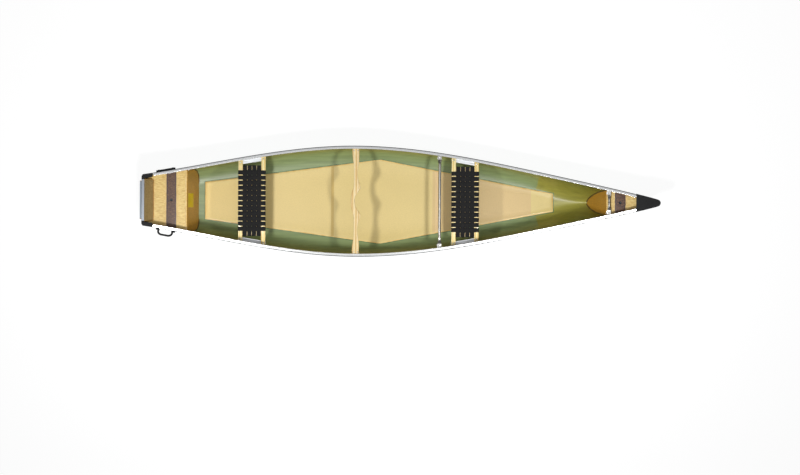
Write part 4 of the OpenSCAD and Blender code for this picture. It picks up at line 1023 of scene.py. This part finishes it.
resin_line("knee_foot_resin", [(knee_x + 2.5, y, STERN_TOP + 0.6) for y in np.linspace(-178, 178, 70)], 3.4)
run, climb = HULL_AFT + 22 - knee_x, TRANSOM_TOP - 14 - STERN_TOP
for word, y in (("starboard", -183), ("port", 183)):
    path = [(knee_x - 1 + run * s, y, STERN_TOP + 1 + climb * s) for s in np.linspace(0, 1, 30)]
    resin_line("knee_side_resin_" + word, path, 2.2)
print("resin lines laid")

# %% [markdown]
# ## Gunwales
# Each gunwale is one aluminium extrusion, bent round the hull's edge. A flange
# folds inboard over the cloth, a bead turns down inside it, and the outer flange
# has a flat land for the rivets. The section is swept along the edge in 130
# steps, and a bevel softens its corners as the real die does.

# %% Gunwales
section = [(3.4, -33), (3.4, -19), (8.5, -15), (12, -9), (12, -4), (10.6, -1.5), (6.6, 0), (-13.5, 0), (-15.2, -1),
           (-16, -3.6), (-16, -11), (-14, -11), (-14, -2.6), (0.4, -2.6), (0.4, -33)]
rail_xs = np.linspace(knee_x + 0.3 + 3, LOA / 2 - 163 - 0.3 - 3.36, 130)
gunwale = loft([[tuple(on_rail(x, out, up)) for out, up in section] for x in rail_xs])
for side, part in (("port", gunwale), ("starboard", flip_y(gunwale))):
    rail = piece("gunwale_rail_" + side, *part, [satin_aluminium, flange_aluminium_painted_shade], "gunwale_" + side,
                 sharp=30, slot="gunwale_aluminium")
    # Faces out past the hull's edge take the dark metal: painted shade and reflection of the outer flange.
    recolour(rail, lambda x, y, z: abs(y) > half_at(x) + 7.5)
    soften(rail, 0.8, 2, 25)
print("gunwales run from", round(rail_xs[0]), "to", round(rail_xs[-1]), "mm")

# %% [markdown]
# ## Rivets, screws and bolts
# A boat is held together by things worth drawing properly: domed rivets along the
# gunwale, pan-head screws with a hexagon recess on the yoke and tubes, and
# carriage bolts with nuts at the seats. One function turns any
# profile and sinks a six-sided recess in its head.

# %% Fasteners
def turned_head(profile, recess=0.0, recess_depth=1.2):
    turn = full_turn(24)
    rings = [circle(r, z, turn) for r, z in profile]
    if recess:
        top = profile[-1][1]
        six = [recess / math.cos((a + math.pi / 6) % (math.pi / 3) - math.pi / 6) for a in turn]
        for scale, drop in ((1.08, 0), (1, 0.15), (1, recess_depth), (0.15, recess_depth + 0.3)):
            rings.append([(scale * r * math.cos(a), scale * r * math.sin(a), top - drop) for r, a in zip(six, turn)])
    return loft(rings)


def hexagon(radius, low, high):
    turn = [math.radians(30 + 60 * k) for k in range(6)]
    shape = [(radius * math.cos(a), radius * math.sin(a)) for a in turn]
    chamfered = [(x * 0.93, y * 0.93) for x, y in shape]
    levels = ((chamfered, low), (shape, low + 0.6), (shape, high - 0.6), (chamfered, high))
    return loft([[(x, y, z) for x, y in outline] for outline, z in levels])


def fasteners(name, node, shape, places, finish=stainless_steel, slot="steel"):
    """Copies of a head at each place: a point, and the way the head faces unless that is up."""
    parts = [placed(shape, p[:3], (1, 0.01, 0), p[3:] or (0, 0, 1)) for p in places]
    piece(name, *join(*parts), finish, node, slot=slot, sharp=32)


FLANGE_T, WALL_GAP, FLANGE_REACH, HOLE_INSET = 3, 0.5, 42, 15


def bolt_y(x, flange_z):
    """How far out the bolts of a hanger or bracket stand."""
    return inner_half(x, flange_z - FLANGE_T) - WALL_GAP - FLANGE_REACH + HOLE_INSET


rivet_dome = turned_head([(4.35, 0), (4.3, 0.35), (3.9, 0.9), (3.1, 1.5), (2.0, 1.9), (1.25, 2.05),
                          (1.1, 1.95), (0.5, 1.8), (0.05, 1.8)])
shares = [0.106, 0.151, 0.307, 0.36, 0.43, 0.468, 0.521, 0.573, 0.722, 0.77, 0.815, 0.862, 0.905, 0.947]
SEAT_X = [station(0.2142), station(0.6248)]
SEAT_RIVET_STEP, RIVET_OUT, RIVET_DROP = 103, 3.5, 26
rivet_xs = [station(s) for s in shares] + [x + k * SEAT_RIVET_STEP for x in SEAT_X for k in (-1, 0, 1)]
for side, sign in (("port", 1), ("starboard", -1)):
    places = []
    for x in rivet_xs:
        n = outward(x)
        p = on_rail(x, RIVET_OUT, -RIVET_DROP)
        places.append((p[0], sign * p[1], p[2], n[0], sign * n[1], 0))
    fasteners("rivet_heads_" + side, "gunwale_rivets_" + side, rivet_dome, places,
              rivet_aluminium, "rivet_aluminium")
print(len(rivet_xs), "rivets to a side")

# %% [markdown]
# ## Yoke
# The yoke is the beam that rests on a carrier's shoulders. It is carved from one
# ash board: a hollow for the neck on its aft edge, pads either side, and slim arms.
# Two smooth curves give its outline. Along them runs a board section whose edges
# are rounded over more where hands and shoulders meet it.

# %% Yoke
YOKE_X = station(0.4146)
YOKE_Z = sheer(YOKE_X) - 35
YOKE_T, SEAT_ON_BRACKET = 20, 0.3
YOKE_FORE = [(0, -9), (0.09, -4), (0.19, 23), (0.25, 40), (0.3, 38), (0.38, 24), (0.48, 14), (0.58, 14),
             (0.76, 27), (1, 27)]
YOKE_AFT = [(0, -45), (0.09, -42), (0.2, -32), (0.29, -20), (0.4, -18), (0.58, -18), (0.72, -22),
            (0.87, -32), (1, -33)]


def through(points, shares):
    """A smooth curve through points, read at the given shares."""
    keys = np.array([(-p[0], p[1]) for p in points[:0:-1]] + list(points), float)
    slopes = np.gradient(keys[:, 1], keys[:, 0])
    out = []
    for s in shares:
        i = int(np.clip(np.searchsorted(keys[:, 0], s) - 1, 0, len(keys) - 2))
        gap = keys[i + 1, 0] - keys[i, 0]
        t = (s - keys[i, 0]) / gap
        out.append((2 * t ** 3 - 3 * t * t + 1) * keys[i, 1] + (t ** 3 - 2 * t * t + t) * gap * slopes[i]
                   + (3 * t * t - 2 * t ** 3) * keys[i + 1, 1] + (t ** 3 - t * t) * gap * slopes[i + 1])
    return np.array(out)


yoke_half = min(inner_half(YOKE_X - 33, YOKE_Z), inner_half(YOKE_X + 27, YOKE_Z)) - 7.3
yoke_shares = np.linspace(-1, 1, 121)
fore, aft = through(YOKE_FORE, yoke_shares), through(YOKE_AFT, yoke_shares)
rings = []
for s, f, a in zip(yoke_shares, fore, aft):
    carve = math.exp(-((abs(s) - 0.24) / 0.11) ** 2) + math.exp(-(s / 0.09) ** 2)
    round_over = 3 + 4.5 * min(1, carve) + 1.5 * (abs(s) < 0.7)
    slim = 1.2 * math.exp(-((abs(s) - 0.5) / 0.12) ** 2)
    y = s * (yoke_half - (1.2 if abs(s) == 1 else 0))
    low, high = YOKE_Z + SEAT_ON_BRACKET + slim, YOKE_Z + SEAT_ON_BRACKET + YOKE_T - slim
    outline = rounded_box(YOKE_X + a, YOKE_X + f, low, high, min(round_over, (high - low) / 2 - 0.2))
    rings.append([(x, y, z) for x, z in outline])
piece("carved_yoke", *loft(rings), ash_across, "yoke", sharp=45, slot="ash_wood")
print("yoke is", round(2 * yoke_half), "mm long")

# %% Yoke screws and brackets
pan_head = turned_head([(2.4, -24), (2.5, -23), (2.5, 0.02), (4.9, 0.05), (5, 0.45), (4.4, 1.3),
                        (3.3, 1.85), (2.4, 2.0)], recess=1.3)
yoke_holes = [(YOKE_X + dx, s * bolt_y(YOKE_X, YOKE_Z), YOKE_Z + 20.35) for s in (-1, 1) for dx in (-20, 16)]
fasteners("yoke_screw_heads", "yoke_screws", pan_head, yoke_holes)
dress("yoke_brackets", mill_aluminium, 0.8)
print("yoke screws at", [round(p[1]) for p in yoke_holes])

# %% [markdown]
# ## Thwart and bow carry bar
# The thwart and the bar at the bow are aluminium tubes whose ends were pressed flat
# in a jig, then bolted to small brackets. A pressed end spreads as it thins, so
# each ring of the loft turns from a circle to a wide, flat oval within 46 mm.

# %% Pressed tubes
TAB_HALF, TAB_RISE, PRESS_RUN = 17, 1.95, 46


def pressed_tube(name, node, x, diameter, flange_z):
    end = inner_half(x, flange_z) - 9.3
    flat_from = end - 30
    middle_z, tab_z = flange_z + diameter / 2, flange_z + 0.3 + 2
    rings = []
    ys = np.concatenate([[-end, -end + 1], np.linspace(-end + 8, -flat_from - 2, 3),
                         np.linspace(-flat_from, -flat_from + PRESS_RUN, 14)])
    ys = np.concatenate([ys, np.linspace(ys[-1] + 30, 0, 6)])
    ys = np.concatenate([ys, -ys[-2::-1]])
    for y in ys:
        s = ease((flat_from - abs(y)) / PRESS_RUN)
        wide = TAB_HALF + (diameter / 2 - TAB_HALF) * s
        tall = TAB_RISE + (diameter / 2 - TAB_RISE) * s
        squareness = 2 + 3.2 * (1 - s)
        corner = 1 - 0.1 * (abs(y) > end - 0.5)
        z = tab_z + (middle_z - tab_z) * s
        outline = []
        for a in full_turn(40):
            c, d = math.cos(a), math.sin(a)
            outline.append((x + corner * wide * math.copysign(abs(c) ** (2 / squareness), c), y,
                            z + tall * math.copysign(abs(d) ** (2 / squareness), d)))
        rings.append(outline)
    piece(name, *loft(rings), cross_aluminium, node, sharp=60, slot="tube_aluminium")


THWART_X, BOW_BAR_X = station(0.5756), LOA / 2 - 451
THWART_Z, BOW_BAR_Z = sheer(THWART_X) - 46, sheer(BOW_BAR_X) - 36
pressed_tube("thwart_tube", "thwart", THWART_X, 25, THWART_Z)
pressed_tube("bow_carry_bar", "bow_carry_handle", BOW_BAR_X, 22, BOW_BAR_Z)
small_head = turned_head([(1.9, -9), (2, -8.6), (2, 0.02), (3.9, 0.05), (4, 0.45), (3.6, 1.3), (2.9, 1.8),
                          (2.2, 2.0)], recess=1.15)
for name, x, z, brackets in (("thwart_bolts", THWART_X, THWART_Z, "thwart_brackets"),
                             ("bow_handle_bolts", BOW_BAR_X, BOW_BAR_Z, "bow_handle_brackets")):
    spots = [(x + dx, s * bolt_y(x, z), z + 4.35) for s in (-1, 1) for dx in (-8.5, 8.5)]
    fasteners(name + "_heads", name, small_head, spots)
    dress(brackets, mill_aluminium, 0.8)
print("thwart at height", round(THWART_Z), "bow bar at height", round(BOW_BAR_Z))

# %% [markdown]
# ## Seats
# Two ash rails cross the boat and rest on bent aluminium hangers. Two short rails
# join them, and black webbing is woven between: twelve lengths one way and four
# the other, over and under by turns. Each strap rides up over a crossing and
# dips under the next by less than a millimetre, turns round the rail on a small
# radius, and is tacked underneath.

# %% Seat rails
BAR_W, BAR_T, RAIL_GAP, SEAT_W, CROSS_DROP = 38, 19, 202, 618, 2.1
STRAP_W, STRAP_T, STRAP_GAP = 38, 1.5, 0.3
SEAT_TOP = [sheer(SEAT_X[0]) - 118, sheer(SEAT_X[1]) - 112]
SEAT_NAMES = ["stern_seat", "bow_seat"]


def seat_rail(index, side, word):
    x = SEAT_X[index] + side * RAIL_GAP / 2
    low, flange = SEAT_TOP[index] - BAR_T, SEAT_TOP[index] - BAR_T - 0.3
    rings = []
    ends = [inner_half(x + dx, flange) - 8.3 for dx in (-BAR_W / 2, BAR_W / 2)]
    for s in (-1, -0.996, -0.5, 0, 0.5, 0.996, 1):
        tuck = 1.6 if abs(s) == 1 else 0
        outline = rounded_box(-BAR_W / 2 + tuck, BAR_W / 2 - tuck, low + tuck, SEAT_TOP[index] - tuck, 4)
        rings.append([(x + px, s * float(np.interp(px, (-BAR_W / 2, BAR_W / 2), ends)), z) for px, z in outline])
    node = SEAT_NAMES[index] + "_" + word + "_rail"
    piece(node + "_bar", *loft(rings), seat_ash_painted_light, node, sharp=60, slot="ash_wood")


def cross_rail(index, side, word):
    half = (RAIL_GAP - BAR_W) / 2 - 0.3
    y0 = side * (SEAT_W / 2 - BAR_W / 2)
    top = SEAT_TOP[index] - CROSS_DROP
    outline = rounded_box(-BAR_W / 2, BAR_W / 2, top - BAR_T, top, 4)
    rings = [[(SEAT_X[index] + s * half, y0 + y, z) for y, z in outline] for s in (-1, 0, 1)]
    node = SEAT_NAMES[index] + "_cross_rail_" + word
    piece(node + "_bar", *loft(rings), ash_along, node, sharp=60, slot="ash_wood")


for index in (0, 1):
    seat_rail(index, -1, "aft")
    seat_rail(index, 1, "fore")
    cross_rail(index, 1, "port")
    cross_rail(index, -1, "starboard")
print("seat tops at", [round(z) for z in SEAT_TOP], "mm")

# %% Woven webbing
def strap(path, along):
    """A flat strap along a path of (distance, height), in X when along is 0 or Y when 1."""
    path = np.array(path, float)
    ahead = directions(path)
    normal = np.column_stack([-ahead[:, 1], ahead[:, 0]])
    edge = [(-1, -0.25), (-1, 0.25), (-0.97, 0.5), (-0.5, 0.5), (0, 0.5), (0.5, 0.5), (0.97, 0.5),
            (1, 0.25), (1, -0.25), (0.97, -0.5), (0, -0.5), (-0.97, -0.5)]
    rings = []
    for (d, z), (nd, nz) in zip(path, normal):
        ring_points = []
        for across, up in edge:
            far, high = d + nd * up * STRAP_T, z + nz * up * STRAP_T
            side = across * STRAP_W / 2
            ring_points.append((far, side, high) if along == 0 else (side, far, high))
        rings.append(ring_points)
    return loft(rings)


def woven_path(span, top, offsets, lift):
    """Round both bars, and over and under each crossing strap."""
    r, e = 3.4, span / 2 + STRAP_GAP
    out = e + STRAP_T / 2
    mid, under = top + STRAP_T / 2, top - (BAR_T + 0.6) - STRAP_T / 2
    turn = [math.radians(a) for a in range(0, 91, 15)]
    path = [(-e + 18, under), (-e + 8, under)]
    path += [(-out + r - r * math.sin(a), under + r - r * math.cos(a)) for a in turn]
    path += [(-out + r - r * math.cos(a), mid - r + r * math.sin(a)) for a in turn]
    far_side = [(-d, z) for d, z in path[::-1]]
    for d in np.linspace(-e + 30, e - 30, 75):
        wave = 0.0
        for place, sign in offsets:
            wave += sign * max(0, math.cos(min(1, abs(d - place) / 22) * math.pi / 2)) ** 0.7
        path.append((d, lift(d) + 0.82 * max(-1, min(1, wave))))
    return path + far_side


LONG_STEP = (SEAT_W - 3 * BAR_W - 8) / 11
CROSS_STEP = (RAIL_GAP - 2 * BAR_W - 2) / 3
long_ys = [(i - 5.5) * LONG_STEP for i in range(12)]
cross_xs = [(j - 1.5) * CROSS_STEP for j in range(4)]


def settled(top, edge, weave_z):
    """Straps leave the bar at its own height and reach the weave's height 26 mm inside it."""
    half = STRAP_T / 2
    return lambda d: top + half + (weave_z - top - half) * min(1, max(0, (edge - abs(d)) / 26))


def straps(word, index, tops, finish):
    """All the straps of one seat that run one way. Crossings are over and under by turns."""
    lengthwise = word == "long"
    top = tops[0] if lengthwise else tops[1]
    lift = settled(top, 84 if lengthwise else 272, sum(tops) / 2 + STRAP_T / 2)
    starts, others = (long_ys, cross_xs) if lengthwise else (cross_xs, long_ys)
    first = -1 if lengthwise else 1
    span = RAIL_GAP + BAR_W if lengthwise else SEAT_W
    parts = []
    for i, start in enumerate(starts):
        crossings = [(other, -first if (i + j) % 2 else first) for j, other in enumerate(others)]
        points, faces = strap(woven_path(span, top, crossings, lift), int(not lengthwise))
        dx, dy = (0, start) if lengthwise else (start, 0)
        parts.append(([(SEAT_X[index] + dx + px, dy + py, pz) for px, py, pz in points], faces))
    node = SEAT_NAMES[index] + "_" + word + "_webbing"
    piece(node + "_straps", *join(*parts), finish, node, sharp=60, slot="webbing")


for index in (0, 1):
    tops = (SEAT_TOP[index] + STRAP_GAP, SEAT_TOP[index] - CROSS_DROP + STRAP_GAP)
    straps("long", index, tops, webbing_lengthwise)
    straps("cross", index, tops, webbing_crosswise)
print("straps", round(LONG_STEP, 1), "mm apart along and", round(CROSS_STEP, 1), "mm apart across")

# %% Seat hangers and bolts
carriage_head = turned_head([(2.9, -31), (3, -30.6), (3, 0.02), (6.5, 0.05), (6.6, 0.3), (5.9, 1.1),
                             (4.4, 2.0), (2.6, 2.6), (0.9, 2.78), (0.05, 2.8)])
for index in (0, 1):
    flange = SEAT_TOP[index] - BAR_T - 0.3
    parts = []
    for s in (-1, 1):
        for side in (-1, 1):
            x = SEAT_X[index] + side * RAIL_GAP / 2
            y = s * bolt_y(x, flange)
            parts.append(placed(carriage_head, (x, y, SEAT_TOP[index] + 0.05)))
            parts.append(placed(hexagon(5.7, -5.1, -0.25), (x, y, flange - 3)))
    node = SEAT_NAMES[index] + "_bolts"
    piece(node + "_set", *join(*parts), stainless_steel, node, sharp=32, slot="steel")
    for word in ("port", "starboard"):
        dress(SEAT_NAMES[index] + "_hanger_" + word, mill_aluminium, 0.9)
print("seat bolts set")

# %% [markdown]
# ## Transom
# An aluminium channel covers the transom's edge between two moulded corner caps.
# Outside is the pad that a motor clamps to: an oiled hardwood board with a metal
# strip on its top edge, where clamps would bruise the wood. These are plain
# shapes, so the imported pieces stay, with their edges rounded by a bevel.

# %% Transom pieces
dress("transom_cap", anodised_aluminium, 0.5)
for word in ("port", "starboard"):
    dress("transom_corner_" + word, black_abs, 2.4, 4)
    dress("handle_lugs_" + word, black_abs, 0.8, 2)
dress("motor_pad", pad_hardwood, 1.6, 3)
dress("motor_pad_cap", pad_plate_metal, 0.5)
dress("bow_deck_plate", black_abs, 1.5, 3)
dress("stern_tank_foam", closed_foam)
dress("bow_tank_foam", closed_foam)
print("transom dressed")

# %% Pad screws and deck rivets
face = np.array([-math.cos(RAKE_ANGLE), 0, -math.sin(RAKE_ANGLE)])
down = np.array([TRANSOM_RAKE, 0, -1]) / math.hypot(TRANSOM_RAKE, 1)
pad_head = turned_head([(2.5, -14), (2.6, -13.5), (2.6, -2.4), (5.6, -2.4), (5.7, -0.7), (5.2, -0.3),
                        (3.9, -0.1), (2.4, -0.05)], recess=1.5, recess_depth=1.5)
PAD_DROP, PAD_T, PAD_GAP, HEAD_SINK = 12, 18, 0.3, 0.35
pad_top = np.array([HULL_AFT + TRANSOM_RAKE * PAD_DROP, 0, TRANSOM_TOP - PAD_DROP])
spots = []
for dy in (-143, 143):
    for drop in (24, 116):
        p = pad_top + down * drop + face * (PAD_GAP + PAD_T - HEAD_SINK)
        spots.append((p[0], dy, p[2], *face))
fasteners("pad_screw_heads", "motor_pad_screws", pad_head, spots)

DECK_X = LOA / 2 - 216
deck_fall = math.atan2(sheer(HULL_FORE) - sheer(DECK_X), HULL_FORE - DECK_X)
deck_head = turned_head([(2, -1.7), (2.05, -0.02), (4.1, 0.02), (4.15, 0.3), (3.4, 1.0), (2.2, 1.5),
                         (1.3, 1.7), (1.1, 1.6), (0.05, 1.6)])
up = np.array([-math.sin(deck_fall), 0, math.cos(deck_fall)])
along = np.array([math.cos(deck_fall), 0, math.sin(deck_fall)])
spots = []
for s in (-1, 1):
    for d in (14, 60):
        p = np.array([DECK_X, 0, sheer(DECK_X) + 0.51]) + along * d + up * 3.05
        spots.append((p[0], s * (half_at(DECK_X + d) - 2), p[2], *up))
fasteners("deck_rivet_heads", "deck_plate_rivets", deck_head, spots, blackened_steel)
print("bow plate falls", round(math.degrees(deck_fall), 1), "degrees")

# %% [markdown]
# ## Stern carry handles
# Two soft handles hinge on lugs at the gunwales. The port one hangs, and the
# starboard one stands out a little. Each is a rounded U with thicker knuckles,
# pins, and shallow grooves that stop wet fingers slipping. The loop is swept
# along one path, and the grooves are changes of its radius. Each rides on its own
# body, so it swings with the joint.

# %% Handle frame
GRIP_X = -LOA / 2 + 229
LUG_LEN, LUG_GAP, GRIP_LEN, REACH, GRIP_D, KNUCKLE_LEN, KNUCKLE_R = 13, 0.6, 124, 52, 18, 20, 10
span = 2 * LUG_LEN + 4 * LUG_GAP + GRIP_LEN + GRIP_D + 2
a, b = on_rail(GRIP_X - span / 2, 0, 0), on_rail(GRIP_X + span / 2, 0, 0)
yaw, pitch = math.atan2(b[1] - a[1], b[0] - a[0]), -math.atan2(b[2] - a[2], b[0] - a[0])
HINGE_OUT, HINGE_DROP = 20, 26
hinge = on_rail(GRIP_X, HINGE_OUT, -HINGE_DROP)


def rotation(angle, axis):
    """A turn about X, Y or Z, numbered 0 to 2, as a matrix."""
    turned = np.eye(3)
    i, j = (axis + 1) % 3, (axis + 2) % 3
    turned[i, i] = turned[j, j] = math.cos(angle)
    turned[i, j], turned[j, i] = -math.sin(angle), math.sin(angle)
    return turned


rail_frame = rotation(yaw, 2) @ rotation(pitch, 1)


def at_hinge(part, swing, side):
    """Places a part drawn round the hinge, swung down by an angle, on one side."""
    points, faces = part
    turned = rail_frame @ rotation(math.radians(-swing), 0)
    moved = [tuple(p) for p in np.array(points, float) @ turned.T + hinge]
    return (moved, faces) if side > 0 else flip_y((moved, faces))


print("hinge at", [round(v, 1) for v in hinge])

# %% Handle loops
GROOVE_DEPTH, GROOVE_PITCH, GROOVE_ZONE = 0.45, 8, 26
half, bend = GRIP_LEN / 2, 34
arm = [(half, y, 0) for y in np.linspace(0, REACH - bend, 9)]
corner = [(half - bend + bend * math.cos(a), REACH - bend + bend * math.sin(a), 0)
          for a in np.radians(np.arange(6, 91, 6))]
bar = [(x, REACH, 0) for x in np.linspace(half - bend, bend - half, 53)[1:]]
path = arm + corner + bar + [(-x, y, z) for x, y, z in (arm + corner)[::-1]][1:]
radii = []
for x, y, z in path:
    grooved = y > REACH - 1 and abs(x) < GROOVE_ZONE
    groove = GROOVE_DEPTH * (0.5 + 0.5 * math.cos(2 * math.pi * x / GROOVE_PITCH)) if grooved else 0
    radii.append(GRIP_D / 2 - groove)
loop = tube(path, radii, 28)


def knuckle(side):
    r, end = KNUCKLE_R, KNUCKLE_LEN
    profile = [(3.42, 0), (r - 1, 0), (r, 1.1), (r, end - 1.1), (r - 1, end), (3.48, end),
               (3.45, end + 13.1), (2.9, end + 13.6)]
    return placed(lathe(profile, 40), (side * (half - end / 2), 0, 0), (0, 1, 0), (side, 0, 0))


handle = join(loop, knuckle(1), knuckle(-1))
for word, side, swing in (("port", 1, 90), ("starboard", -1, 34)):
    piece("carry_handle_" + word, *at_hinge(handle, swing, side), soft_rubber, "stern_handle_" + word,
          body=word + "_handle", sharp=50, slot="handle_rubber")

lug_screw = turned_head([(1.9, -2.5), (2, -2.4), (2, 0.02), (3.9, 0.05), (4, 0.45), (3.5, 1.3), (2.7, 1.8),
                         (2.0, 2.0)], recess=1.1)
# The gunwale curves out past the straight hinge line, and the lugs' feet stand on the furthest part.
across = np.array([-math.sin(yaw), math.cos(yaw)])
rises = [(on_rail(GRIP_X + s * span / 2, 0, 0) - on_rail(GRIP_X, 0, 0))[:2] @ across for s in (-1, -0.8, 0.8, 1)]
FLANGE_GAP, RAIL_EDGE, CLEAR = 0.4, 3, 0.3
land = FLANGE_GAP + RAIL_EDGE - HINGE_OUT + max(rises) + CLEAR
facing = rail_frame @ np.array([0, 1, 0])
spots = []
for side in (1, -1):
    for s in (1, -1):
        p = rail_frame @ np.array([s * (half + 10 + LUG_GAP + LUG_LEN + 8), land + 3.05, 0]) + hinge
        spots.append((p[0], side * p[1], p[2], facing[0], side * facing[1], facing[2]))
fasteners("lug_screw_heads", "handle_lug_screws", lug_screw, spots)
